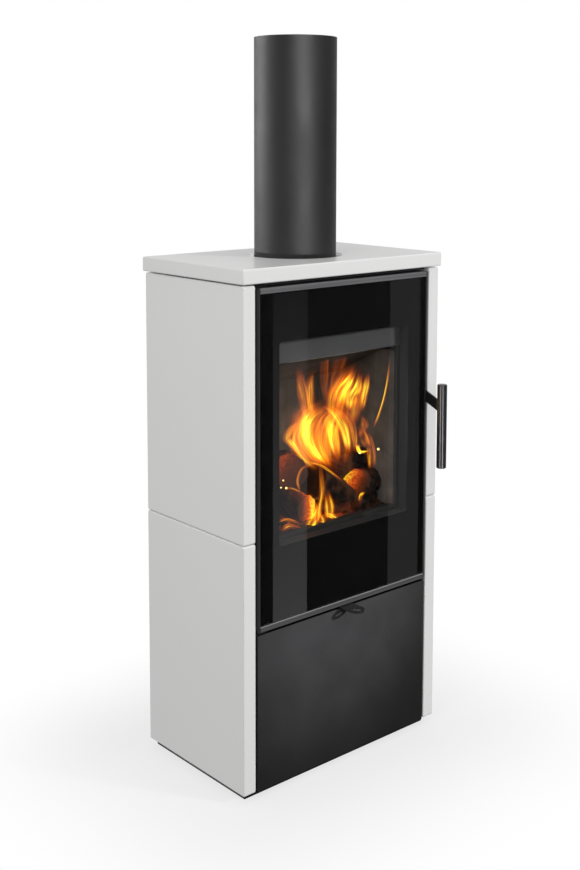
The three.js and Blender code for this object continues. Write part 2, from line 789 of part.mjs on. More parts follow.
const barX = armInner + armThickness / 2;
function handleBar() {
  const edge = 1.2;
  const bar = turned([
    [0, barBottom], [barRadius - edge, barBottom], [barRadius, barBottom + edge],
    [barRadius, barTop - edge], [barRadius - edge, barTop], [0, barTop],
  ], [barX, barY], 32);
  return bar.subtract(plate([armOutline(0.35)], 'yz', [armSpan[0] - 0.35, armSpan[1] + 0.35]));
}
add('handle_bar', handleBar(), blackSteel);

// ---------------------------------------------------------------- lower cover

function lowerCover() {
  const back = coverFront + coverDepth;
  const face = rounded([-coverHalf, coverHalf], [coverBottom, coverTop]);
  return cut(
    plate([face], 'xz', [coverFront, back]),
    block(
      [-coverHalf + sheet, coverHalf - sheet], [coverFront + sheet, back + 1],
      [coverBottom + sheet, coverTop - sheet],
    ),
    rod('z', pinAt, pinRadius + 0.35, [coverBottom - 1, coverBottom + sheet + 1]),
    rod('z', pinAt, pinRadius + 0.35, [coverTop - sheet - 1, coverTop + 1]),
  );
}
add('lower_cover', lowerCover(), charcoal);

// An angle inside the cover's right edge that the magnet holds.
const strike = { x: [178, coverHalf - sheet - clearance], y: [-123.6, magnet.front - 0.8], arm: -133 };
add('strike_plate', join(
  block(strike.x, strike.y, magnet.z),
  block([strike.x[1] - 1.5, strike.x[1]], [strike.arm, strike.y[1]], magnet.z),
), zinc);

// ---------------------------------------------------------------- air lever and register

const leverPin = { y: -78, radius: 2.5 };

// Flat lever: hub on the pivot, a wide tongue with a round end and a finger hole in front,
// and a short tail behind that carries the register's drive pin.
function airLever() {
  const neck = 8;
  const hub = 9;
  const end = leverTip + leverHalf;
  const flank = [[neck, -120], [neck + 2.2, -127], [leverHalf - 1.2, -133], [leverHalf, -139]];
  const outline = [
    ...flank.map(([x, y]) => [-x, y]),
    ...arc(0, end, leverHalf, Math.PI, 2 * Math.PI, 20),
    ...flank.toReversed(),
    ...arc(0, leverPin.y, 5, 0, Math.PI, 8),
  ];
  const level = [leverTop - leverThickness, leverTop];
  return cut(
    join(
      plate([outline, circle(0, end - 1.5, 8.4, 24)], 'xy', level),
      rod('z', [0, leverPivotY], hub, level),
      rod('z', [0, leverPin.y], leverPin.radius, [leverTop - 1, 298.4], 20),
    ),
    rod('z', [0, leverPivotY], pinRadius + 0.3, [level[0] - 1, level[1] + 1]),
  );
}
add('air_lever', airLever(), brushed);

function airSlide() {
  const shift = 5;               // the register stands half open when the lever points straight out
  const level = [295.2, 297.2];
  const through = [level[0] - 1, level[1] + 1];
  const drive = leverPin.radius + 0.35;
  return cut(
    plate([rounded([-58, 58], [-93, 10], 3)], 'xy', level),
    ...registerSlots.map((x) => block([x + shift - 5, x + shift + 5], registerY, through)),
    block([-drive, drive], [leverPin.y - 8, leverPin.y + 8], through),
  );
}
add('air_slide', airSlide(), zinc);

export default stove;
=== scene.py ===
# Tiled wood stove: finishes, fine pieces, fire and studio round the fixed frame.
import json
import math

import bpy
import numpy as np
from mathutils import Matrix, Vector


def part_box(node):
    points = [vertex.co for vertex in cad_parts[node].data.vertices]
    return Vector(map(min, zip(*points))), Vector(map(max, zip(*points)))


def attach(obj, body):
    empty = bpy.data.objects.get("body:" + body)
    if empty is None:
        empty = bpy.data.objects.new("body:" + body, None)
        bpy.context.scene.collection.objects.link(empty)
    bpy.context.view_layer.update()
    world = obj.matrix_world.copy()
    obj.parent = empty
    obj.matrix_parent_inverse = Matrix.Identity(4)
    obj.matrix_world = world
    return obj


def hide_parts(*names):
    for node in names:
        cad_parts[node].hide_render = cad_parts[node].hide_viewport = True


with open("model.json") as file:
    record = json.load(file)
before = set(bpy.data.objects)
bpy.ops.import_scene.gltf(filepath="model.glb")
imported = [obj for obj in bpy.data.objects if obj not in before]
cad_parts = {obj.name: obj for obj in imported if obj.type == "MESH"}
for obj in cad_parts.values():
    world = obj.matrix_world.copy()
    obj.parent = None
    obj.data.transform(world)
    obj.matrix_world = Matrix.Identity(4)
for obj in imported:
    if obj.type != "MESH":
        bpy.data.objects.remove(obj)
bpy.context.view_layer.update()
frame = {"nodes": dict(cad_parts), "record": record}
nodes = frame["nodes"]
mm = 0.001
tau = 2 * math.pi
camera = {"place": (-1.489, -1.699, 1.1366), "heading": 40.995, "down": 5.842, "roll": -0.09,
          "focalPixels": 1238, "shift": 0.20, "imageHeight": 870, "sensor": 36}
print("frame loaded:", len(nodes), "nodes")


# ---- meshes from formulas

def gridQuads(rows, columns, closeRows=False, closeColumns=False, copies=1):
    # quads between the neighbours of one or more grids; a closed direction joins its end to its start
    index = np.arange(rows * columns).reshape(rows, columns)
    if closeRows:
        index = np.vstack([index, index[:1]])
    if closeColumns:
        index = np.hstack([index, index[:, :1]])
    corners = [index[:-1, :-1], index[:-1, 1:], index[1:, 1:], index[1:, :-1]]
    quads = np.stack(corners, axis=-1).reshape(-1, 4)
    return np.vstack([quads + k * rows * columns for k in range(copies)])


def addObject(name, data):
    thing = bpy.data.objects.new(name, data)
    bpy.context.scene.collection.objects.link(thing)
    return thing


def outward(points, quads):
    # turns the quads if their signed volume, the sum of a . (b x c) over their halves, is below zero
    a, b, c, d = (points[quads[:, k]] for k in range(4))
    volume = (a * np.cross(b, c)).sum() + (a * np.cross(c, d)).sum()
    return quads[:, ::-1] if volume < 0 else quads


def makeMesh(name, points, quads, material, turnOut=True):
    points = points.reshape(-1, 3)
    mesh = bpy.data.meshes.new(name)
    mesh.from_pydata(points, [], outward(points, quads) if turnOut else quads)
    mesh.polygons.foreach_set("use_smooth", [True] * len(mesh.polygons))
    mesh.materials.append(material)
    mesh.update()
    return addObject(name, mesh)


def faceUp(piece):
    if piece.data.polygons[0].normal.z < 0:
        piece.data.flip_normals()


def boxOf(node):
    low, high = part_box(node)
    return np.array(low) / mm, np.array(high) / mm


def ringAround(halfWidth, low, high, radius, steps=6):
    # points round a rectangle with rounded corners, and the outward direction at each
    turn = np.linspace(0, math.pi / 2, steps) + np.arange(4)[:, None] * math.pi / 2
    cx = np.array([[1], [-1], [-1], [1]]) * (halfWidth - radius)
    cz = np.array([[high - radius], [high - radius], [low + radius], [low + radius]])
    outX, outZ = np.cos(turn), np.sin(turn)
    return [part.ravel() for part in (cx + radius * outX, cz + radius * outZ, outX, outZ)]


# ---- shader building blocks

def fill(node, inputs):
    # a value that is another node's socket is linked, and a plain one is written
    for socket, value in inputs.items():
        if isinstance(value, bpy.types.NodeSocket):
            node.id_data.links.new(value, node.inputs[socket])
        else:
            node.inputs[socket].default_value = value
    return node


def place(tree, kind, inputs=None, family="ShaderNode", **settings):
    node = tree.nodes.new(family + kind)
    for key, value in settings.items():
        setattr(node, key, value)
    return fill(node, inputs or {})


def calc(tree, operation, *values):
    return place(tree, "Math", dict(enumerate(values)), operation=operation).outputs[0]


def vectorCalc(tree, operation, *values, out="Vector"):
    return place(tree, "VectorMath", dict(enumerate(values)), operation=operation).outputs[out]


def multiply(tree, a, b):
    return calc(tree, "MULTIPLY", a, b)


def remap(tree, value, low, high, start=0.0, end=1.0, shape="LINEAR"):
    ends = {"Value": value, "From Min": low, "From Max": high, "To Min": start, "To Max": end}
    return place(tree, "MapRange", ends, interpolation_type=shape).outputs["Result"]


def mixColour(tree, factor, a, b):
    return place(tree, "Mix", {"Factor": factor, 6: a, 7: b}, data_type="RGBA").outputs[2]


def mixNumber(tree, factor, a, b):
    return place(tree, "Mix", {"Factor": factor, 2: a, 3: b}, data_type="FLOAT").outputs[0]


def noise(tree, where, scale, detail, **more):
    inputs = {"Vector": where, "Scale": scale, "Detail": detail, **more}
    return place(tree, "TexNoise", inputs).outputs["Fac"]


def split(tree, where):
    return place(tree, "SeparateXYZ", {0: where}).outputs


def attributes(tree, *labels):
    return [place(tree, "Attribute", attribute_name=label).outputs["Fac"] for label in labels]


def setRamp(node, stops):
    ramp = node.color_ramp
    while len(ramp.elements) < len(stops):
        ramp.elements.new(0.5)
    for element, (at, tone) in zip(ramp.elements, stops):
        element.position = at
        element.color = (*tone, 1)


def newGroup(name, inputs, outputs):
    # a shader group that reads a place in "Vector" and values of its own, and puts out numbers
    tree = bpy.data.node_groups.new(name, "ShaderNodeTree")
    for label, value in {"Vector": (0.0, 0.0, 0.0), **inputs}.items():
        kind = "NodeSocketVector" if isinstance(value, tuple) else "NodeSocketFloat"
        tree.interface.new_socket(label, in_out="INPUT", socket_type=kind).default_value = value
    for label in outputs:
        tree.interface.new_socket(label, in_out="OUTPUT", socket_type="NodeSocketFloat")
    return tree, tree.nodes.new("NodeGroupInput").outputs, tree.nodes.new("NodeGroupOutput")


def grainGroup():
    # fine even grain of a sprayed or cast skin: a height, and a mask for patches of slightly other tone
    tree, given, out = newGroup("sprayGrain", {"Grain size": 0.0006, "Patch size": 0.05},
                                ("Height", "Patches"))
    fine, wide = (calc(tree, "DIVIDE", 1.0, given[size]) for size in ("Grain size", "Patch size"))
    fill(out, {"Height": noise(tree, given["Vector"], fine, 2.0),
               "Patches": remap(tree, noise(tree, given["Vector"], wide, 3.0), 0.3, 0.7)})
    return tree


def brushGroup():
    # long fine brush marks: noise stretched along one direction
    tree, given, out = newGroup("brushMarks", {"Stretch": (2.0, 900.0, 900.0)}, ("Height", "Marks"))
    stretched = vectorCalc(tree, "MULTIPLY", given["Vector"], given["Stretch"])
    marks = noise(tree, stretched, 1.0, 4.0, Roughness=0.7)
    fill(out, {"Height": marks, "Marks": remap(tree, marks, 0.3, 0.7)})
    return tree


def wearGroup():
    # bright rubbed edges: where the rounded normal leaves the face's own normal
    tree, given, out = newGroup("edgeWear", {"Reach": 0.0008, "Amount": 0.6}, ("Mask",))
    soft = place(tree, "Bevel", {"Radius": given["Reach"]}, samples=4).outputs[0]
    face = place(tree, "NewGeometry").outputs["Normal"]
    edge = remap(tree, vectorCalc(tree, "DOT_PRODUCT", soft, face, out="Value"), 0.995, 0.93)
    broken = remap(tree, noise(tree, given["Vector"], 160.0, 3.0), 0.35, 0.65)
    fill(out, {"Mask": multiply(tree, multiply(tree, edge, broken), given["Amount"])})
    return tree


def sootGroup():
    # soot that thickens with height, with cloudy borders
    tree, given, out = newGroup("sootByHeight", {"Low": 0.45, "High": 0.75}, ("Mask",))
    cloud = noise(tree, given["Vector"], 14.0, 5.0)
    lifted = calc(tree, "MULTIPLY_ADD", cloud, 0.3, split(tree, given["Vector"])["Z"])
    fill(out, {"Mask": remap(tree, lifted, given["Low"], given["High"])})
    return tree


sprayGrain, brushMarks, edgeWear, sootByHeight = grainGroup(), brushGroup(), wearGroup(), sootGroup()


def newMaterial(name, values):
    # a Principled material with its plain values set, and its Object coordinates
    material = bpy.data.materials.new(name)
    material.use_nodes = True
    tree = material.node_tree
    shader = fill(tree.nodes["Principled BSDF"], values)
    return material, tree, shader, place(tree, "TexCoord").outputs["Object"]


def newLight(name):
    # an empty material for what gives light of its own, and isn't a lamp
    material = bpy.data.materials.new(name)
    material.use_nodes = True
    material.node_tree.nodes.clear()
    material.cycles.emission_sampling = "NONE"
    return material, material.node_tree


def emit(tree, colour, strength):
    return place(tree, "Emission", {"Color": colour, "Strength": strength}).outputs[0]


def useGroup(tree, group, where, inputs):
    return place(tree, "Group", {"Vector": where, **inputs}, node_tree=group).outputs


def useGrain(tree, where, size, patch):
    return useGroup(tree, sprayGrain, where, {"Grain size": size, "Patch size": patch})


def bump(tree, height, strength, distance):
    inputs = {"Height": height, "Strength": strength, "Distance": distance}
    return place(tree, "Bump", inputs).outputs[0]


def gray(level, tint=(1, 1, 1)):
    return (level * tint[0], level * tint[1], level * tint[2], 1)


print("shader groups ready")


# ---- finishes

def makeSkin(name, tones, roughness, grain, relief=None, rubbed=None, values=None):
    # patches of two tones and two roughnesses over a fine grain: grain holds the sizes of both, relief the
    # strength and depth of the bumps, and rubbed the reach, amount and tone of worn edges
    material, tree, shader, where = newMaterial(name, {"IOR": 1.5, **(values or {})})
    grains = useGrain(tree, where, *grain)
    skin = mixColour(tree, grains["Patches"], *tones)
    if rubbed:
        reach, amount, tone = rubbed
        edge = useGroup(tree, edgeWear, where, {"Reach": reach, "Amount": amount})["Mask"]
        skin = mixColour(tree, edge, skin, tone)
    fill(shader, {"Base Color": skin, "Roughness": remap(tree, grains["Patches"], 0, 1, *roughness)})
    if relief:
        fill(shader, {"Normal": bump(tree, grains["Height"], *relief)})
    return material


# a roughness below 0.275 would make the denoiser take the glaze for a mirror, and scratch marks come back
glaze = {"white": 0.795, "dull": 0.99, "tint": (1, 0.996, 0.99), "roughness": (0.29, 0.35),
         "ripple": (0.12, 0.00012), "coat": {"Coat Weight": 0.22, "Coat Roughness": 0.12}}


def makeGlaze():
    tones = [gray(glaze["white"] * share, glaze["tint"]) for share in (glaze["dull"], 1)]
    return makeSkin("ceramicGlaze", tones, glaze["roughness"], (0.009, 0.12), glaze["ripple"],
                    values=glaze["coat"])


paint = {"charcoal": 0.034, "black": 0.012, "roughness": 0.5, "grain": (0.0006, 0.07), "reach": 0.0007}


def makePaint(name, level, roughness, wear, tint=(1, 1, 1.04), depth=0.00012):
    tones = [gray(level * share, tint) for share in (0.9, 1.12)]
    return makeSkin(name, tones, (roughness - 0.05, roughness + 0.07), paint["grain"], (0.35, depth),
                    (paint["reach"], wear, gray(level * 3.2 + 0.02, tint)))


coolTint = (1, 1, 1.03)
brushed = {"reach": 0.0006, "wear": 0.5, "relief": (0.25, 0.00008), "highlightTone": 0.29, "highlightBorder": 0.0002}


def makeBrushed(name, level, stretch, metallic, roughness=0.36, rubbed=2.0, highlightAbove=None):
    material, tree, shader, where = newMaterial(name, {"Metallic": metallic})
    marks = useGroup(tree, brushMarks, where, {"Stretch": stretch})
    edge = useGroup(tree, edgeWear, where, {"Reach": brushed["reach"], "Amount": brushed["wear"]})["Mask"]
    skin = mixColour(tree, marks["Marks"], *(gray(level * share, coolTint) for share in (0.7, 1.3)))
    # painted highlight: a bright line of base colour along the top edge, in place of the light that the top
    # ledge catches
    if highlightAbove:    # a bright line along the top edge
        highlightLine = remap(tree, split(tree, where)["Z"], highlightAbove - brushed["highlightBorder"], highlightAbove)
        skin = mixColour(tree, highlightLine, skin, gray(brushed["highlightTone"]))
    fill(shader, {"Base Color": mixColour(tree, edge, skin, gray(level * rubbed)),
                  "Roughness": remap(tree, marks["Marks"], 0, 1, roughness - 0.06, roughness + 0.1),
                  "Normal": bump(tree, marks["Height"], *brushed["relief"])})
    return material


def makeZinc():
    # crystals of two tones under faint rolling marks
    material, tree, shader, where = newMaterial("zincSheet", {"Metallic": 0.9})
    flakes = place(tree, "TexVoronoi", {"Vector": where, "Scale": 90.0})
    marks = useGroup(tree, brushMarks, where, {"Stretch": (30.0, 30.0, 500.0)})
    tone = place(tree, "SeparateColor", {0: flakes.outputs["Color"]}).outputs[0]
    skin = mixColour(tree, tone, gray(0.30, coolTint), gray(0.42, coolTint))
    fill(shader, {"Base Color": mixColour(tree, multiply(tree, marks["Marks"], 0.4), skin, gray(0.24)),
                  "Roughness": remap(tree, tone, 0, 1, 0.38, 0.55),
                  "Normal": bump(tree, marks["Height"], 0.2, 0.0001)})
    return material


lining = {"clay": (0.190, 0.166, 0.146, 1), "ash": (0.28, 0.255, 0.235, 1),
          "soot": (0.028, 0.025, 0.023, 1), "sootFrom": 0.62, "sootTo": 1.02}


def makeLining():
    # fired slab: gritty, streaked downwards, sooted towards the top
    material, tree, shader, where = newMaterial("liningSlab", {"Roughness": 0.92})
    grain = useGrain(tree, where, 0.0022, 0.04)
    streaks = useGroup(tree, brushMarks, where, {"Stretch": (150.0, 150.0, 4.0)})
    soot = useGroup(tree, sootByHeight, where, {"Low": lining["sootFrom"], "High": lining["sootTo"]})
    skin = mixColour(tree, multiply(tree, streaks["Marks"], 0.6), lining["clay"], lining["ash"])
    dusty = mixColour(tree, multiply(tree, grain["Patches"], 0.45), skin, lining["soot"])
    fill(shader, {"Base Color": mixColour(tree, soot["Mask"], dusty, lining["soot"]),
                  "Normal": bump(tree, grain["Height"], 0.7, 0.0008)})
    return material


def makeRope():
    # glass-fibre braid: crossing diagonal strands over the modelled bulges
    material, tree, shader, where = newMaterial("sealRope", {"Roughness": 0.9, "Sheen Weight": 0.25})
    inputs = {"Vector": where, "Scale": 260.0, "Distortion": 2.0, "Detail": 1.0}
    strands = place(tree, "TexWave", inputs, bands_direction="DIAGONAL").outputs["Fac"]
    dust = multiply(tree, useGrain(tree, where, 0.0009, 0.03)["Patches"], 0.5)
    skin = mixColour(tree, strands, gray(0.055), gray(0.15, (1, 0.98, 0.94)))
    fill(shader, {"Base Color": mixColour(tree, dust, skin, gray(0.06)),
                  "Normal": bump(tree, strands, 0.7, 0.0005)})
    return material


def makeGlass():
    material, tree, shader, where = newMaterial(
        "clearGlass", {"Base Color": (0.93, 0.935, 0.93, 1), "Transmission Weight": 1.0, "IOR": 1.5})
    fill(shader, {"Roughness": remap(tree, noise(tree, where, 7.0, 3.0), 0.5, 0.8, 0.0, 0.03)})
    return material


alongX = (4.0, 300.0, 300.0)    # how far brush marks are stretched
finishes = {
    "ceramic_glaze": makeGlaze(),
    "charcoal_paint": makePaint("charcoalPaint", paint["charcoal"], paint["roughness"], wear=0.12),
    "black_steel": makePaint("blackSteel", paint["black"], 0.46, wear=0.45, depth=0.00008),
    "cast_iron": makeSkin("blackedIron", (gray(0.018), gray(0.045, (1.05, 1, 0.95))), (0.55, 0.8),
                          (0.0016, 0.03), (0.6, 0.0004), (0.0012, 0.7, gray(0.14)), {"Metallic": 0.35}),
    "brushed_trim": makeBrushed("brushedTrim", 0.18, alongX, metallic=0.25),
    "zinc_sheet": makeZinc(),
    "fire_lining": makeLining(),
    "rope_seal": makeRope(),
    "printed_glass": makeGlass(),
    "magnet_body": makeSkin("mouldedBlack", (gray(0.02), gray(0.03)), (0.45, 0.6), (0.0008, 0.02),
                            (0.4, 0.0001)),
}
ownFinishes = {
    "flue_pipe": makePaint("pipePaint", 0.0145, 0.54, wear=0.2, tint=(1, 1, 0.99), depth=0.00028),
    "lower_cover": makePaint("coverPaint", 0.0125, paint["roughness"], wear=0.2),
    "air_wash_bar": makePaint("washBarPaint", 0.078, 0.5, wear=0.2),
    # the lower rail's top edge carries a painted highlight line
    "door_rail_bottom": makeBrushed("lowerRailTrim", 0.10, alongX, metallic=0.25, highlightAbove=0.3046),
    "handle_bar": makeBrushed("handleTrim", 0.095, (1200.0, 1200.0, 3.0), metallic=0.85, roughness=0.26),
    "air_lever": makeBrushed("leverTrim", 0.045, (1200.0, 3.0, 1200.0), 0.5, roughness=0.16, rubbed=6.0),
}
# black enamel fired on the inner face of the glass, and a black strip on the cover that is painted shade for
# the gap under the door
blackEnamel = makeSkin("blackEnamel", (gray(0.0014), gray(0.0022)), (0.5, 0.6), (0.0005, 0.05),
                       values={"Specular IOR Level": 0.15})
paintedGapShade = makePaint("paintedGapShade", 0.003, 0.9, wear=0.0)


# ---- every node: its finish, welded and smoothed

def makeSoftener():
    # welds the loose triangles, then smooths across every edge that is shallower than the angle
    tree = bpy.data.node_groups.new("weldAndSmooth", "GeometryNodeTree")
    for side in ("INPUT", "OUTPUT"):
        tree.interface.new_socket("Geometry", in_out=side, socket_type="NodeSocketGeometry")
    start, end = tree.nodes.new("NodeGroupInput"), tree.nodes.new("NodeGroupOutput")
    welded = place(tree, "MergeByDistance", {"Geometry": start.outputs[0], "Distance": 1e-6}, "GeometryNode")
    smooth = place(tree, "SetShadeSmooth", {"Geometry": welded.outputs[0]}, "GeometryNode", domain="FACE")
    angle = tree.nodes.new("GeometryNodeInputMeshEdgeAngle").outputs["Unsigned Angle"]
    limits = {"A": angle, "B": math.radians(34)}
    shallow = place(tree, "Compare", limits, "FunctionNode", operation="LESS_THAN").outputs[0]
    edges = place(tree, "SetShadeSmooth", {"Geometry": smooth.outputs[0], "Shade Smooth": shallow},
                  "GeometryNode", domain="EDGE")
    tree.links.new(edges.outputs[0], end.inputs[0])
    return tree


weldAndSmooth = makeSoftener()


def soften(piece):
    piece.modifiers.new("weldAndSmooth", "NODES").node_group = weldAndSmooth


def dressNode(name, slotName):
    piece = nodes[name]
    piece.data.materials.clear()
    piece.data.materials.append(ownFinishes.get(name, finishes[slotName]))
    soften(piece)
    flat = piece.modifiers.new("flatFaces", "WEIGHTED_NORMAL")
    flat.keep_sharp, flat.weight = True, 100


for part in frame["record"]["subparts"]:
    dressNode(part["node"], part["material_slot"])
nodes["door_glass"].visible_shadow = False    # the lamps light the fire chamber through the glass
for name in ("handle_bar", "handle_arm", "air_lever"):
    nodes[name].visible_glossy = False    # the glass would mirror them on edge
print("finishes on", len(nodes), "nodes")


# ---- black print on the inner face of the door glass

printRing = {"outerHalf": 199.2, "low": 306.4, "high": 873.6, "outerCorner": 2, "windowHalf": 156.5,
             "windowLow": 436.5, "windowHigh": 789.5, "corner": 5, "front": -137.39, "back": -137.2}


def makePrintRing():
    # a flat ring: one direction runs round the window, the other over inner and outer edge, front and back
    p = printRing
    inner = ringAround(p["windowHalf"], p["windowLow"], p["windowHigh"], p["corner"])[:2]
    outer = ringAround(p["outerHalf"], p["low"], p["high"], p["outerCorner"])[:2]
    x, z = (np.stack([a, b, b, a], axis=1) for a, b in zip(inner, outer))
    y = np.broadcast_to([p["front"], p["front"], p["back"], p["back"]], x.shape)
    piece = makeMesh("glass_print", np.stack([x, y, z], axis=-1) * mm, gridQuads(*x.shape, True, True),
                     blackEnamel)
    piece.data.polygons.foreach_set("use_smooth", [False] * len(piece.data.polygons))
    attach(piece, "door")


makePrintRing()
print("glass print made")


# ---- braided rope that seals the door

seal = {"width": 4.4, "corner": 12.4, "cornerSteps": 14, "steps": 1680, "around": 26, "plaits": 230,
        "strands": 4, "bulge": 0.42}


def makeSeal():
    # an oval section carried round a rounded rectangle: P = C + (w + b) cos a N + (d + b) sin a Y, and the
    # braid is b = bulge max(cos(k a + n s), cos(k a - n s)), two sets of strands that cross
    low, high = boxOf("door_rope_seal")
    depth, width = (high[1] - low[1]) / 2, seal["width"]
    ring = ringAround(high[0] - width, low[2] + width, high[2] - width, seal["corner"], seal["cornerSteps"])
    edges = np.hypot(*(np.diff(part, append=part[:1]) for part in ring[:2]))
    way = np.concatenate([[0], np.cumsum(edges)])
    along = np.linspace(0, way[-1], seal["steps"], endpoint=False)
    x, z, outX, outZ = (np.interp(along, way, np.append(part, part[0]))[:, None] for part in ring)
    turn = np.linspace(0, tau, seal["around"], endpoint=False)[None, :]
    twist = along[:, None] / way[-1] * tau * seal["plaits"]
    strand = np.maximum(np.cos(seal["strands"] * turn + twist), np.cos(seal["strands"] * turn - twist))
    bulge = seal["bulge"] * (strand - 1)
    side = (width + bulge) * np.cos(turn)
    y = (low[1] + high[1]) / 2 + (depth + bulge) * np.sin(turn)
    points = np.stack([x + side * outX, y, z + side * outZ], axis=-1) * mm
    piece = makeMesh("seal_braid", points, gridQuads(*y.shape, True, True), finishes["rope_seal"])
    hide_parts("door_rope_seal")
    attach(piece, "door")


makeSeal()
print("rope seal braided")


# ---- screws: pan heads with a hexagon recess

# inset is the distance from the edges of what they hold, and proud how far it stands before the face
headShape = {"columns": 24, "height": 0.62, "recess": 0.46, "floor": 0.2}
screws = {
    "shield": {"inset": (12, 26), "rows": 4, "radius": 4.2},
    "spigot": {"inset": 5.5, "angles": (45, 135, 225, 315), "proud": 2.3, "radius": 3.4},
    "catch": {"inset": 5, "proud": 2.5, "radius": 3.2},
    "bracket": {"inset": 5, "height": 281, "proud": 3, "radius": 3.2},
    "rail": {"along": (-84, 0, 84), "up": 19, "proud": 2, "radius": 3.6},
}


def makeScrews(name, places, out, radius):
    # rings of points from the middle of the recess to the foot of the head; the ring of the recess is a
    # hexagon, r = apothem / cos(angle to the middle of its flat)
    turn = np.linspace(0, tau, headShape["columns"], endpoint=False)
    hexagon = headShape["recess"] * math.cos(math.pi / 6) / np.cos((turn % (tau / 6)) - tau / 12)
    circle = np.ones_like(turn)
    top = headShape["height"]
    rings = ((0.02 * circle, headShape["floor"]), (hexagon, headShape["floor"]), (hexagon, top),
             (0.74 * circle, top), (0.90 * circle, 0.85 * top), (circle, 0.5 * top), (circle, -0.1))
    across = Vector(out).orthogonal().normalized()
    up = np.array(Vector(out).cross(across))
    reach = np.stack([ring for ring, _ in rings])[..., None] * radius
    lift = np.array([height for _, height in rings])[:, None, None] * radius
    head = (reach * (np.cos(turn)[None, :, None] * np.array(across) + np.sin(turn)[None, :, None] * up)
            + lift * np.array(out)).reshape(-1, 3)
    points = (head + np.array(places)[:, None]) * mm
    quads = gridQuads(len(rings), len(turn), closeColumns=True, copies=len(places))
    piece = makeMesh(name, points, quads, finishes["zinc_sheet"])
    soften(piece)
    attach(piece, "root")


def makeAllScrews():
    low, high = boxOf("rear_heat_shield")
    s = screws["shield"]
    heights = np.linspace(low[2] + s["inset"][1], high[2] - s["inset"][1], s["rows"])
    sides = (low[0] + s["inset"][0], high[0] - s["inset"][0])
    makeScrews("shield_screws", [(x, high[1], z) for x in sides for z in heights], (0, 1, 0), s["radius"])

    low, high = boxOf("air_inlet_spigot")
    s = screws["spigot"]
    middle, circle = (low + high) / 2, (high[0] - low[0]) / 2 - s["inset"]
    face = boxOf("back_panel")[1][1] + s["proud"]
    turns = [math.radians(angle) for angle in s["angles"]]
    places = [(circle * math.cos(a), face, middle[2] + circle * math.sin(a)) for a in turns]
    makeScrews("spigot_screws", places, (0, 1, 0), s["radius"])

    front = boxOf("front_frame")[0][1]
    low, high = boxOf("magnet_catch")
    s = screws["catch"]
    heights = (low[2] + s["inset"], high[2] - s["inset"])
    places = [((low[0] + high[0]) / 2, front - s["proud"], z) for z in heights]
    makeScrews("catch_screws", places, (0, -1, 0), s["radius"])

    low, high = boxOf("hinge_bracket_middle")
    s = screws["bracket"]
    places = [(x, front - s["proud"], s["height"]) for x in (low[0] + s["inset"], high[0] - s["inset"])]
    makeScrews("bracket_screws", places, (0, -1, 0), s["radius"])

    s = screws["rail"]
    for side, sign in (("left", -1), ("right", 1)):
        for level in ("lower", "upper"):
            low, high = boxOf(f"tile_rail_{side}_{level}")
            face = (high[0] if sign < 0 else low[0]) + sign * s["proud"]
            places = [(face, y, low[2] + s["up"]) for y in s["along"]]
            makeScrews(f"rail_screws_{side}_{level}", places, (sign, 0, 0), s["radius"])


makeAllScrews()
print("screws in")


# ---- black strip on the top edge of the lower cover: painted shade that makes the gap under the door dark

strip = {"side": 1.5, "front": 1.0, "back": 0.5, "thick": 0.8}


def makeStrip():
    # a section of four points carried from left to right, with all four in the middle of each end
    low, high = boxOf("lower_cover")
    y = [low[1] + strip["front"], high[1] - strip["back"]]
    z = [high[2], high[2] + strip["thick"]]
    section = np.array([(y[0], z[0]), (y[1], z[0]), (y[1], z[1]), (y[0], z[1])])
    middle = np.broadcast_to(section.mean(axis=0), section.shape)
    rows = ((low[0], middle), (low[0], section), (high[0], section), (high[0], middle))
    points = np.array([(x - math.copysign(strip["side"], x), *p) for x, row in rows for p in row])
    piece = makeMesh("cover_gap_shade", points * mm, gridQuads(4, 4, closeColumns=True), paintedGapShade)
    soften(piece)
    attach(piece, "cover")


makeStrip()
print("cover strip laid")


# ---- fire: logs, embers and flames show the stove in use; they are dressing, not part of it

def smoothPath(knots, count):
    # Catmull-Rom: each stretch is the cubic through two points whose slopes are half the step across them
    ends = [2 * knots[0] - knots[1], 2 * knots[-1] - knots[-2]]
    knots = np.vstack([ends[:1], knots, ends[1:]])
    along = np.linspace(0, len(knots) - 3 - 1e-9, count)
    first, u = along.astype(int), (along % 1)[:, None]
    a, b, c, d = (knots[first + k] for k in range(4))
    return 0.5 * (2 * b + (c - a) * u + (2 * a - 5 * b + 4 * c - d) * u**2 + (3 * b - a - 3 * c + d) * u**3)


def setNumbers(piece, label, values):
    layer = piece.data.attributes.new(label, "FLOAT", "POINT")
    layer.data.foreach_set("value", np.ascontiguousarray(values, dtype=np.float32).ravel())


def stageWith(piece, shadow=True):
    piece.visible_shadow = piece.visible_diffuse = piece.visible_glossy = shadow


def makeCharWood():
    # charred bark with brown patches, glowing where the attribute says that it burns; on the logs part of
    # that glow is painted firelight on the side that faces the flames
    material, tree, shader, where = newMaterial("charWood", {"Roughness": 0.85, "Emission Strength": 1.0})
    glow, cut = attributes(tree, "glow", "cut")
    cracks = noise(tree, where, 230.0, 4.0)
    patches = remap(tree, noise(tree, where, 45.0, 5.0), 0.42, 0.62)
    skin = mixColour(tree, patches, (0.006, 0.004, 0.003, 1), (0.070, 0.026, 0.011, 1))
    lively = multiply(tree, glow, remap(tree, cracks, 0.3, 0.7, 0.55, 1.2))
    heat = place(tree, "ValToRGB", {"Fac": lively})
    setRamp(heat, ((0, (0, 0, 0)), (0.18, (0.09, 0.012, 0.002)), (0.5, (0.62, 0.07, 0.006)),
                   (0.75, (0.95, 0.26, 0.012)), (1, (1.0, 0.62, 0.03))))
    fill(shader, {"Base Color": mixColour(tree, cut, skin, (0.050, 0.020, 0.008, 1)),
                  "Emission Color": heat.outputs["Color"], "Normal": bump(tree, cracks, 0.9, 0.0012)})
    return material
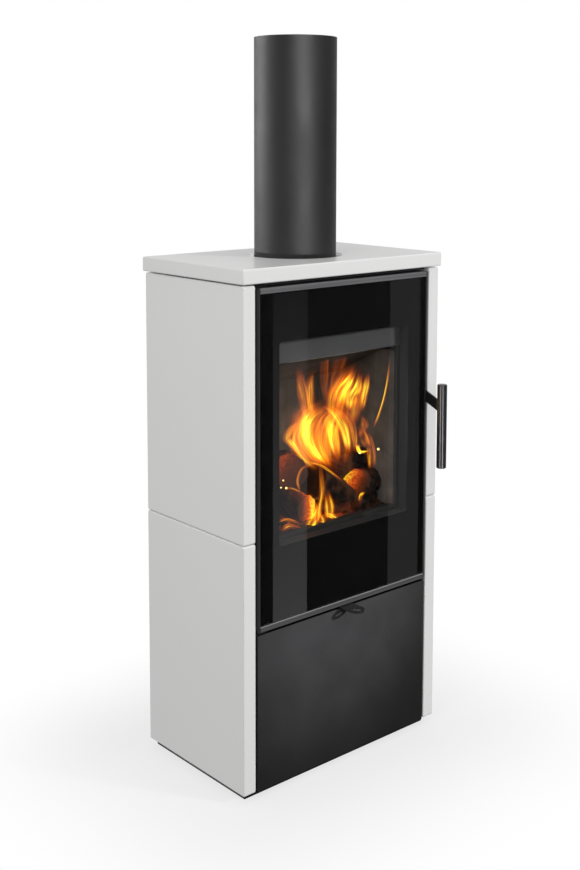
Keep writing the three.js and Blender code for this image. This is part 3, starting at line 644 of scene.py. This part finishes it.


# ends in mm; taper is how much of the radius the second end keeps, if not all; warmEnd 1 makes the second
# end the burning one, warmth is how strongly it glows, and warmFrom the side where it glows most: the end's
# own glow and painted firelight
logs = {
    "logDiagonal": {"ends": ((-12, -60, 508), (100, -62, 454)), "radius": 33, "taper": 0.4,
                    "warmEnd": 1, "warmth": 0.0, "warmFrom": (0, 0, 1)},
    "logUpperLeft": {"ends": ((-66, -62, 535), (-6, 18, 518)), "radius": 30,
                     "warmth": 0.42, "warmFrom": (-0.8, 0, 0.6)},
    "logLowerLeft": {"ends": ((-52, 34, 472), (-38, -74, 463)), "radius": 25,
                     "warmEnd": 1, "warmth": 1.6, "warmFrom": (1, 0, 0)},
    "logGlowing": {"ends": ((86, -72, 488), (149, -48, 478)), "radius": 24,
                   "warmth": 1.35, "warmFrom": (-0.7, 0.6, 0.4)},
    "logBehind": {"ends": ((52, -32, 509), (148, -24, 512)), "radius": 25,
                  "warmth": 0.25, "warmFrom": (-0.4, 0, 0.9)},
    "logLowRight": {"ends": ((82, -68, 450), (149, -46, 449)), "radius": 17,
                    "warmth": 0.22, "warmFrom": (-1, 0, 0.2)},
    "logLowMiddle": {"ends": ((-6, -40, 450), (72, -66, 449)), "radius": 16,
                     "warmEnd": 1, "warmth": 0.3, "warmFrom": (0, -0.4, -0.9)},
}
# number and depth of the waves round the bark, growth rings and dome of the cut ends, cutTo the share of
# their radius that is bare wood, and how far the glow reaches
bark = {"waves": ((2, 0.05), (3, 0.035), (5, 0.025), (9, 0.02), (17, 0.016), (31, 0.012)),
        "caps": 9, "body": 60, "columns": 84, "rings": 7, "ringDepth": 0.0007, "dome": 0.002, "cutTo": 0.93,
        "glowReach": 0.028}


def makeLog(name, setup, seed):
    # rings round the axis: the radius swells with a few waves round and along the log, and drops to
    # nothing over each end, whose faces carry shallow growth rings
    rng = np.random.default_rng(seed)
    start, end = (np.array(p, float) * mm for p in setup["ends"])
    axis = (end - start) / np.linalg.norm(end - start)
    length = np.linalg.norm(end - start)
    side = np.cross(axis, (0, 0, 1))
    side /= np.linalg.norm(side)
    top = np.cross(side, axis)
    radius = setup["radius"] * mm
    caps, body = bark["caps"], bark["body"]
    reach = np.concatenate([np.linspace(0, 1, caps), np.ones(body), np.linspace(1, 0, caps)])
    along = np.concatenate([np.zeros(caps), np.linspace(0.01, 0.99, body), np.ones(caps)])
    isCap = np.concatenate([np.ones(caps), np.zeros(body), np.ones(caps)])
    angle = np.linspace(0, tau, bark["columns"], endpoint=False)
    f, a = np.meshgrid(reach, angle, indexing="ij")
    l = np.broadcast_to(along[:, None], f.shape)
    swell = np.ones_like(f)
    for waves, depth in bark["waves"]:
        phase, bend = rng.uniform(0, tau), rng.uniform(1.5, 6)
        drift = phase + bend * np.sin(rng.uniform(1, 3) * l * math.pi + rng.uniform(0, 6))
        swell += depth * np.cos(waves * a + drift)
    rings = bark["ringDepth"] * np.cos(f * bark["rings"] * math.pi) * np.sin(math.pi * f)
    bulge = np.where(l < 0.5, -1, 1) * isCap[:, None] * (rings + bark["dome"] * (1 - f**2))
    r = radius * f * swell * (1 + (setup.get("taper", 1.0) - 1) * l)
    points = (start + (l * length + bulge)[..., None] * axis
              + (r * np.cos(a))[..., None] * side + (r * np.sin(a))[..., None] * top)
    piece = makeMesh(name, points, gridQuads(*f.shape, closeColumns=True), fireFinishes["coal"])
    warmAt = (start, end)[setup.get("warmEnd", 0)]
    toSide = np.array(setup["warmFrom"], float)
    # painted firelight: the glow is strongest on the side that faces warmFrom, as if the flames lit it from
    # there, and fades away from the warm end
    lit = ((points - warmAt) @ (toSide / np.linalg.norm(toSide))) / radius * 0.5 + 0.5
    depth = np.abs((points - warmAt) @ axis)
    glow = setup["warmth"] * np.clip(lit, 0, 1.2) ** 1.6 * np.exp(-depth / bark["glowReach"])
    setNumbers(piece, "glow", glow)
    setNumbers(piece, "cut", np.broadcast_to(isCap[:, None], f.shape) * (f < bark["cutTo"]))
    soften(piece)
    stageWith(piece)


# hot spots are given as x, y and reach; the glow dies out at glowTop over the floor
embers = {"x": (-151, 151), "y": (-94, 41), "step": 1.7, "floor": 433.6, "coals": 420, "radius": (5, 12),
          "squash": (0.7, 1.5), "lift": (0, 5), "crown": 0.8, "glowTop": 9, "seed": 12,
          "hot": ((-30, -70, 60), (40, -60, 45), (-90, -60, 40))}


def makeEmbers():
    # a height field: the upper envelope of many half-sunk balls, whose gaps glow near the hot spots
    rng = np.random.default_rng(embers["seed"])
    x, y = np.meshgrid(*(np.arange(*embers[side], embers["step"]) for side in ("x", "y")))
    height = np.zeros_like(x)
    for _ in range(embers["coals"]):
        cx, cy = rng.uniform(*embers["x"]), rng.uniform(*embers["y"])
        r = rng.uniform(*embers["radius"])
        squash = rng.uniform(*embers["squash"])
        d2 = (x - cx) ** 2 * squash + (y - cy) ** 2 / squash
        ball = rng.uniform(*embers["lift"]) + embers["crown"] * np.sqrt(np.maximum(r * r - d2, 0))
        height = np.maximum(height, ball)
    heat = sum(np.exp(-((x - hx) ** 2 + (y - hy) ** 2) / hr**2) for hx, hy, hr in embers["hot"])
    glow = np.clip(heat, 0, 1) * np.clip(1 - height / embers["glowTop"], 0, 1) ** 1.5
    points = np.stack([x, y, embers["floor"] + height], axis=-1) * mm
    piece = makeMesh("embers", points, gridQuads(*x.shape), fireFinishes["coal"])
    faceUp(piece)
    setNumbers(piece, "glow", glow)
    setNumbers(piece, "cut", np.zeros_like(glow))
    stageWith(piece)


# streaks of the gas: scale across and along the tongue, the range of the noise that is used, the dark and
# bright levels that it becomes, and its distortion
flameLook = {"streaks": ((2.2, 1.0, 0.34, 0.66, 0.10, 1.25, 0.6), (8.0, 1.2, 0.30, 0.70, 0.35, 1.4, 0.4)),
             "border": 0.30, "root": 0.24, "tip": 0.38, "strength": 1.25}


def makeFlameLight():
    # glowing gas: nothing but emission, streaked along the flame and fading to its borders
    material, tree = newLight("flameLight")
    across = split(tree, place(tree, "UVMap").outputs[0])
    s, t = across["X"], across["Y"]
    heat, seed = attributes(tree, "flameHeat", "seed")

    def fade(value, low, high):
        return remap(tree, value, low, high, shape="SMOOTHSTEP")

    def streaks(wide, long, low, high, dark, bright, twist):
        at = place(tree, "CombineXYZ",
                   {"X": multiply(tree, s, wide), "Y": multiply(tree, t, long), "Z": seed}).outputs[0]
        return remap(tree, noise(tree, at, 1.0, 2.0, Distortion=twist), low, high, dark, bright)

    border = multiply(tree, fade(s, 0.0, flameLook["border"]), fade(s, 1.0, 1 - flameLook["border"]))
    ends = multiply(tree, fade(t, 0.0, flameLook["root"]), fade(t, 1.0, 1 - flameLook["tip"]))
    body = multiply(tree, *(streaks(*values) for values in flameLook["streaks"]))
    level = multiply(tree, multiply(tree, border, ends), multiply(tree, body, heat))
    tone = place(tree, "ValToRGB", {"Fac": level})
    setRamp(tone, ((0, (0.75, 0.09, 0.004)), (0.3, (0.95, 0.19, 0.008)), (0.6, (1.0, 0.40, 0.012)),
                   (1, (1.0, 0.74, 0.04))))
    glowing = emit(tree, tone.outputs["Color"], multiply(tree, level, flameLook["strength"]))
    clear = place(tree, "BsdfTransparent")
    both = place(tree, "AddShader", {0: glowing, 1: clear.outputs[0]})
    place(tree, "OutputMaterial", {"Surface": both.outputs[0]})
    return material


flames = {"rows": 56, "columns": 29, "widen": 1.3, "crown": 0.35, "fold": 0.22, "seed": 5, "seedStep": 3.7}
# each tongue in mm: its depth y, or one for each point, its way from the root as (x, z), its half widths
# along the way, and its heat
flames["tongues"] = (
    # the main blaze, which curls over to the right and to the left
    (-62, ((23, 526), (-17, 562), (-39, 600), (-27, 633), (13, 648)), (7, 13, 15, 14, 6), 1.2),
    (-58, ((35, 521), (0, 563), (-14, 598), (-1, 626), (42, 638)), (6, 12, 14, 12, 5), 1.2),
    (-55, ((48, 518), (21, 559), (17, 592), (32, 620), (73, 625)), (6, 11, 12, 11, 4), 1.0),
    (-52, ((62, 530), (51, 567), (47, 596), (60, 618), (92, 614)), (6, 10, 11, 9, 4), 0.8),
    (-56, ((84, 539), (79, 568), (70, 598), (44, 631), (9, 649)), (4, 8, 10, 10, 4), 1.0),
    (-50, ((108, 536), (104, 568), (94, 598), (68, 627), (30, 648)), (3, 6, 8, 8, 4), 0.65),
    (-64, ((-34, 551), (-63, 586), (-73, 601), (-58, 616), (-33, 621)), (5, 8, 9, 8, 3), 0.8),
    (-48, ((33, 520), (12, 566), (10, 612), (36, 654)), (20, 42, 42, 14), 0.50),
    (-46, ((62, 520), (62, 566), (52, 606), (30, 650)), (20, 36, 34, 12), 0.45),
    (-66, ((2, 528), (-38, 565), (-52, 600), (-30, 640)), (8, 16, 16, 8), 0.55),
    # the plume above it
    (-44, ((64, 625), (75, 657), (94, 676), (112, 697)), (9, 13, 10, 3), 0.95),
    (-40, ((100, 617), (105, 645), (118, 664), (129, 691)), (10, 13, 10, 3), 1.4),
    (-42, ((128, 612), (134, 641), (141, 662), (148, 688)), (6, 8, 7, 3), 0.8),
    (-46, ((48, 640), (59, 664), (77, 682), (96, 692)), (5, 8, 7, 3), 0.55),
    (-38, ((92, 590), (102, 650), (128, 706)), (20, 29, 8), 0.50),
    (-36, ((66, 600), (74, 650), (112, 712)), (10, 20, 6), 0.42),
    # thin tongues to the left, faint ones on top and the curved one to the right
    (-60, ((-20, 615), (-32, 670), (-48, 726)), (9, 11, 5), 0.62),
    (-56, ((-10, 620), (-16, 670), (-10, 716)), (8, 9, 4), 0.52),
    (-46, ((34, 640), (30, 696), (38, 776)), (3, 8, 5), 0.24),
    (-42, ((50, 630), (62, 690), (92, 764)), (4, 13, 9), 0.24),
    (-110, ((92, 596), (108, 622), (122, 654), (132, 693), (136, 728)), (1.4, 2.0, 2.0, 1.9, 1.4), 0.8),
    # what burns at the right
    (-66, ((140, 505), (138, 535), (130, 562), (113, 589)), (4, 5, 5, 3), 0.6),
    (-68, ((129, 505), (125, 537), (123, 558)), (3, 4, 2), 0.7),
    (-60, ((104, 570), (121, 591), (110, 614)), (6, 8, 4), 0.45),
    (-74, ((87, 565), (96, 547), (124, 544)), (4, 3.4, 1.8), 1.3),
    (-62, ((129, 547), (117, 570), (109, 593)), (7, 9, 4), 0.3),
    # the flame in front of the logs
    ((-97, -96, -96, -96), ((-30, 440), (-26, 468), (-20, 505), (-27, 562)), (4, 5, 5, 2), 0.85),
    (-97, ((-54, 432), (-46, 446), (-34, 462), (-28, 490)), (8, 10, 7, 3), 1.35),
    (-97, ((-30, 434), (-22, 446), (-34, 466)), (8, 9, 4), 0.95),
    (-97, ((26, 436), (8, 446), (-20, 458)), (3, 4.5, 3.5), 1.0),
    (-96, ((-2, 440), (-2, 468), (-8, 500)), (8, 9, 4), 0.55),
    (-96, ((-44, 448), (-40, 470), (-52, 504)), (6, 7, 3), 0.8),
    (-97, ((-118, 446), (-100, 452), (-84, 446), (-62, 436)), (3, 5, 4, 3), 0.55),
    # thin flames that run along the logs
    (-95, ((-124, 463), (-100, 462), (-67, 446)), (2.2, 3.2, 2), 0.8),
    (-96, ((-57, 560), (-13, 540), (38, 503)), (1.8, 2.6, 1.8), 0.75),
    (-96, ((-71, 505), (-79, 528), (-69, 548), (-43, 554)), (1.8, 2.6, 2.6, 1.8), 0.45),
    (-96, ((-109, 521), (-89, 516), (-53, 496)), (1.6, 2.2, 1.4), 0.6),
    (-96, ((73, 461), (78, 473), (91, 476)), (2.4, 3.4, 1.4), 0.85),
)


def makeFlames():
    # each tongue is a strip along a smooth path: P = C(t) + w(t) (s W + d (crown (1 - s s) + fold)), with W
    # across the path, d towards the viewer and a fold that waves across and along the strip
    rows, columns, tongues = flames["rows"], flames["columns"], flames["tongues"]
    rng = np.random.default_rng(flames["seed"])
    s, t = np.linspace(-1, 1, columns), np.linspace(0, 1, rows)
    heading = math.radians(camera["heading"])
    towards = np.array([-math.sin(heading), -math.cos(heading), 0.0])
    strips = []
    for depth, way, widths, _ in tongues:
        centre = smoothPath(np.insert(np.array(way, float), 1, depth, axis=1) * mm, rows)
        across = np.cross(np.gradient(centre, axis=0), towards)
        across /= np.linalg.norm(across, axis=1, keepdims=True)
        width = np.interp(t, np.linspace(0, 1, len(widths)), widths) * mm * flames["widen"]
        fold = flames["fold"] * np.sin(1.4 * math.pi * s + 3.0 * t[:, None] + rng.uniform(0, tau))
        lift = flames["crown"] * (1 - s**2) + fold
        section = s[:, None] * across[:, None] + lift[..., None] * towards
        strips.append(centre[:, None] + width[:, None, None] * section)
    each, count = rows * columns, len(tongues)
    quads = gridQuads(rows, columns, copies=count)
    piece = makeMesh("flames", np.stack(strips), quads, fireFinishes["flame"], turnOut=False)
    uv = np.tile(np.stack(np.meshgrid(s * 0.5 + 0.5, t), axis=-1).reshape(-1, 2), (count, 1))
    piece.data.uv_layers.new(name="UVMap").data.foreach_set("uv", uv[quads.ravel()].ravel())
    setNumbers(piece, "flameHeat", np.repeat([heat for *_, heat in tongues], each))
    setNumbers(piece, "seed", np.repeat(flames["seedStep"] * np.arange(count), each))
    stageWith(piece, shadow=False)


sparks = {"places": ((95, -74, 545), (146, -72, 543), (-112, -90, 521), (-100, -90, 518), (-107, -90, 533)),
          "sizes": (2.2, 2.4, 1.4, 2.0, 1.5), "rows": 9, "columns": 12, "colour": (1, 0.72, 0.25, 1),
          "strength": 2.2}


def makeSparkLight():
    material, tree = newLight("sparkLight")
    place(tree, "OutputMaterial", {"Surface": emit(tree, sparks["colour"], sparks["strength"])})
    return material


def makeSparks():
    # small balls: z = r cos a, and a circle of radius r sin a at each height
    rows, columns = sparks["rows"], sparks["columns"]
    up, turn = np.meshgrid(np.linspace(0.02, math.pi - 0.02, rows),
                           np.linspace(0, tau, columns, endpoint=False), indexing="ij")
    ball = np.stack([np.sin(up) * np.cos(turn), np.sin(up) * np.sin(turn), np.cos(up)], axis=-1)
    balls = [np.array(at) * mm + ball * size * mm for at, size in zip(sparks["places"], sparks["sizes"])]
    quads = gridQuads(rows, columns, closeColumns=True, copies=len(balls))
    stageWith(makeMesh("sparks", np.stack(balls), quads, fireFinishes["spark"]), shadow=False)


fireFinishes = {"coal": makeCharWood(), "flame": makeFlameLight(), "spark": makeSparkLight()}
for logNumber, (logName, logSetup) in enumerate(logs.items()):
    makeLog(logName, logSetup, logNumber + 3)
makeEmbers()
makeFlames()
makeSparks()
print("fire laid")


# ---- studio: floor, backdrop, lamps and camera

studio = {"floorHalf": 9.0, "floorGrey": 0.62, "foot": (0.235, 0.14, 0), "nearWhite": 0.70, "fadeEnd": 0.40}
white = (1, 1, 1, 1)


def makeFloor():
    # pale floor that keeps the shadow near the stove and turns to the white of the backdrop further off; it
    # isn't mirrored, and a ray that has passed through the glass finds it black
    side = np.linspace(-studio["floorHalf"], studio["floorHalf"], 3)
    x, y = np.meshgrid(side, side)
    material, tree, shader, where = newMaterial("paleFloor", {
        "Base Color": gray(studio["floorGrey"]), "Roughness": 0.9, "Specular IOR Level": 0.0})
    beyond = vectorCalc(tree, "SUBTRACT", vectorCalc(tree, "ABSOLUTE", where), studio["foot"])
    away = vectorCalc(tree, "LENGTH", vectorCalc(tree, "MAXIMUM", beyond, (0, 0, 0)), out="Value")
    path = place(tree, "LightPath").outputs
    toWhite = remap(tree, away, 0.0, studio["fadeEnd"], studio["nearWhite"], 1.0, "SMOOTHSTEP")
    seen = multiply(tree, toWhite, path["Is Camera Ray"])
    share = calc(tree, "MAXIMUM", seen, path["Is Transmission Ray"])
    flat = emit(tree, white, path["Is Camera Ray"])
    blend = place(tree, "MixShader", {0: share, 1: shader.outputs[0], 2: flat})
    fill(tree.nodes["Material Output"], {"Surface": blend.outputs[0]})
    floor = makeMesh("floor", np.stack([x, y, np.zeros_like(x)], axis=-1), gridQuads(3, 3), material)
    faceUp(floor)
    floor.visible_diffuse = floor.visible_glossy = False


world = {"above": 0.59, "below": 0.16, "glossyBack": 0.72, "glossyFront": 0.018}


def makeWorld():
    # white where it is seen, an even soft light on surfaces, and for gloss white behind and dark in front
    surroundings = bpy.data.worlds.new("studio")
    bpy.context.scene.world = surroundings
    surroundings.use_nodes = True
    tree = surroundings.node_tree
    tree.nodes.clear()
    path = place(tree, "LightPath").outputs
    direction = split(tree, place(tree, "TexCoord").outputs["Generated"])
    behind = remap(tree, direction["Y"], -0.25, 0.25, world["glossyFront"], world["glossyBack"])
    soft = remap(tree, direction["Z"], -0.3, 0.3, world["below"], world["above"])
    level = mixNumber(tree, path["Is Glossy Ray"], soft, behind)
    through = calc(tree, "MAXIMUM", path["Is Camera Ray"], path["Is Transmission Ray"])
    strength = mixNumber(tree, through, level, 1.0)
    light = place(tree, "Background", {"Color": white, "Strength": strength})
    place(tree, "OutputWorld", {"Surface": light.outputs[0]})


# a lamp is a rectangle if it has no kind; size is its two sides or its radius, only names the one node that
# it lights, and spare the one that it leaves out
lamps = {
    "keyLamp": {"place": (2.90, -5.10, 2.44), "target": (0, 0, 0.5), "size": (0.60, 0.60),
                "watts": 216, "spare": "lining_back"},
    "leftFill": {"place": (-2.6, -0.9, 1.7), "target": (-0.1, 0, 0.5), "size": (1.6, 1.8), "watts": 32},
    "flameLamp": {"kind": "POINT", "place": (0.0, -0.035, 0.60), "size": 0.04, "watts": 0.115,
                  "tint": (1.0, 0.50, 0.17), "spare": "door_frame"},
    "emberLamp": {"kind": "POINT", "place": (-0.02, -0.072, 0.475), "size": 0.012, "watts": 0.28,
                  "tint": (1.0, 0.36, 0.08), "spare": "door_frame"},
    "fireboxFill": {"place": (0.02, -0.085, 0.742), "target": (0.03, 0.02, 0.50),
                    "size": (0.20, 0.03), "watts": 0.058, "tint": (1.0, 0.96, 0.92)},
    "coverWash": {"place": (-0.08, -0.40, 0.46), "target": (-0.04, -0.14, 0.25),
                  "size": (0.4, 0.1), "watts": 1.5, "only": "lower_cover"},
    "coverKey": {"kind": "SPOT", "place": (2.90, -5.10, 2.44), "target": (0.0, -0.14, 0.31), "size": 0.08,
                 "angle": 5.2, "watts": 5200, "only": "lower_cover"},
    "holeGlow": {"kind": "POINT", "place": (-0.015, 0.013, 0.908), "size": 0.01, "watts": 0.16,
                 "only": "ceramic_top", "shadow": False},
}


def makeLamp(name, setup):
    kind = setup.get("kind", "AREA")
    lamp = bpy.data.lights.new(name, kind)
    if kind == "AREA":
        lamp.shape = "RECTANGLE"
        lamp.size, lamp.size_y = setup["size"]
    else:
        lamp.shadow_soft_size = setup["size"]
    if kind == "SPOT":
        lamp.spot_size, lamp.spot_blend = math.radians(setup["angle"]), 1.0
    lamp.energy = setup["watts"]
    lamp.color = setup.get("tint", (1, 1, 1))
    lamp.use_shadow = setup.get("shadow", True)
    holder = addObject(name, lamp)
    holder.location = setup["place"]
    aim = Vector(setup.get("target", (0, 0, 0))) - Vector(setup["place"])
    holder.rotation_euler = aim.to_track_quat("-Z", "Y").to_euler()
    holder.visible_camera = holder.visible_glossy = holder.visible_transmission = False
    chosen = setup.get("only", setup.get("spare"))
    if chosen:
        linked = bpy.data.collections.new(name)
        linked.objects.link(nodes[chosen])
        holder.light_linking.receiver_collection = linked
        if "spare" in setup:
            linked.collection_objects[0].light_linking.link_state = "EXCLUDE"


# soft upright cards that only gloss shows: two stand in front as the bands in the door glass, the others give
# the pipe and the handle bar their highlights, and nothing else mirrors those
bands = {"glass": -141.4, "card": -690, "heights": (296, 884),
         "sides": {"left": {"x": (-172.6, -95), "low": 0.74, "high": 0.11},
                   "right": {"x": (105, 185), "low": 0.28, "high": 0.24}}}
glossCards = {
    "behindLeft": {"towards": 123, "width": 1.3, "heights": (0.9, 2.2), "level": 8.2, "on": "flue_pipe"},
    "frontLeft": {"towards": -107, "width": 0.8, "heights": (1.05, 2.2), "level": 24.0, "on": "flue_pipe"},
    "handleRight": {"towards": -108, "width": 0.3, "heights": (-0.6, 0.6), "level": 12.0, "on": "handle_bar"},
    "handleLeft": {"towards": -166, "width": 0.3, "heights": (-0.6, 0.6), "level": 10.8, "on": "handle_bar"},
}
cardStand = {"away": 2.4, "pipeFrom": 0.925, "skin": 0.003, "still": 0.0005, "colour": (1, 0.99, 1, 1)}


def startsIn(tree, low, high):
    # 1 for a mirrored ray that left a surface inside the box, from whichever side it is looked at: the place
    # where it began, P + ray length x the way back, stays put when it is held between the corners
    where = place(tree, "NewGeometry").outputs
    length = place(tree, "LightPath").outputs["Ray Length"]
    back = place(tree, "VectorMath", {0: where["Incoming"], "Scale": length}, operation="SCALE")
    start = vectorCalc(tree, "ADD", where["Position"], back.outputs[0])
    held = vectorCalc(tree, "MINIMUM", vectorCalc(tree, "MAXIMUM", start, low), high)
    moved = vectorCalc(tree, "DISTANCE", start, held, out="Value")
    return calc(tree, "LESS_THAN", moved, cardStand["still"])


def makeCard(name, points, low, high, shownOn=None):
    # a card of 2 by 2 points whose light runs from low at its foot to high at its top
    material, tree = newLight(name)
    height = split(tree, place(tree, "TexCoord").outputs["Object"])["Z"]
    strength = remap(tree, height, float(points[..., 2].min()), float(points[..., 2].max()), low, high)
    if shownOn:
        corners = np.array(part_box(shownOn)) + np.array([[-cardStand["skin"]], [cardStand["skin"]]])
        if shownOn == "flue_pipe":
            corners[0, 2] = cardStand["pipeFrom"]
        strength = multiply(tree, strength, startsIn(tree, *map(tuple, corners)))
    place(tree, "OutputMaterial", {"Surface": emit(tree, cardStand["colour"], strength)})
    card = makeMesh(name, points, gridQuads(2, 2), material)
    card.visible_camera = card.visible_diffuse = card.visible_shadow = card.visible_transmission = False


def makeBands():
    # the law of the mirror: what is seen at P in the glass stands at P + (P - camera) depth / distance
    eye = np.array(camera["place"]) / mm
    ahead = (bands["glass"] - bands["card"]) / (bands["glass"] - eye[1])
    for side, setup in bands["sides"].items():
        x, z = np.meshgrid(np.array(setup["x"]), np.array(bands["heights"]))
        cardX, cardZ = x + (x - eye[0]) * ahead, np.maximum(z + (z - eye[2]) * ahead, 1)
        points = np.stack([cardX, np.full_like(x, bands["card"]), cardZ], axis=-1) * mm
        makeCard(f"{side}Band", points, setup["low"], setup["high"])


def makeGlossCards():
    # each card stands square to its own direction from the flue's axis
    for name, setup in glossCards.items():
        turn = math.radians(setup["towards"])
        across, z = np.meshgrid(np.array([-0.5, 0.5]) * setup["width"], np.array(setup["heights"]))
        x = cardStand["away"] * math.cos(turn) - across * math.sin(turn)
        y = cardStand["away"] * math.sin(turn) + across * math.cos(turn)
        makeCard(name, np.stack([x, y, z], axis=-1), setup["level"], setup["level"], setup["on"])


def makeCamera():
    eye = bpy.data.cameras.new("camera")
    eye.sensor_width = camera["sensor"]
    eye.lens = camera["focalPixels"] * camera["sensor"] / camera["imageHeight"]
    eye.shift_y = -camera["shift"]
    holder = addObject("camera", eye)
    heading, down = math.radians(camera["heading"]), math.radians(camera["down"])
    look = Vector((math.sin(heading) * math.cos(down), math.cos(heading) * math.cos(down), -math.sin(down)))
    turn = look.to_track_quat("-Z", "Y").to_matrix().to_4x4()
    turn.translation = Vector(camera["place"])
    holder.matrix_world = turn
    holder.rotation_euler.rotate_axis("Z", math.radians(-camera["roll"]))
    bpy.context.scene.camera = holder


makeFloor()
makeWorld()
for lampName, lampSetup in lamps.items():
    makeLamp(lampName, lampSetup)
makeBands()
makeGlossCards()
makeCamera()
bpy.context.scene.view_settings.view_transform = "Standard"
print("studio ready")
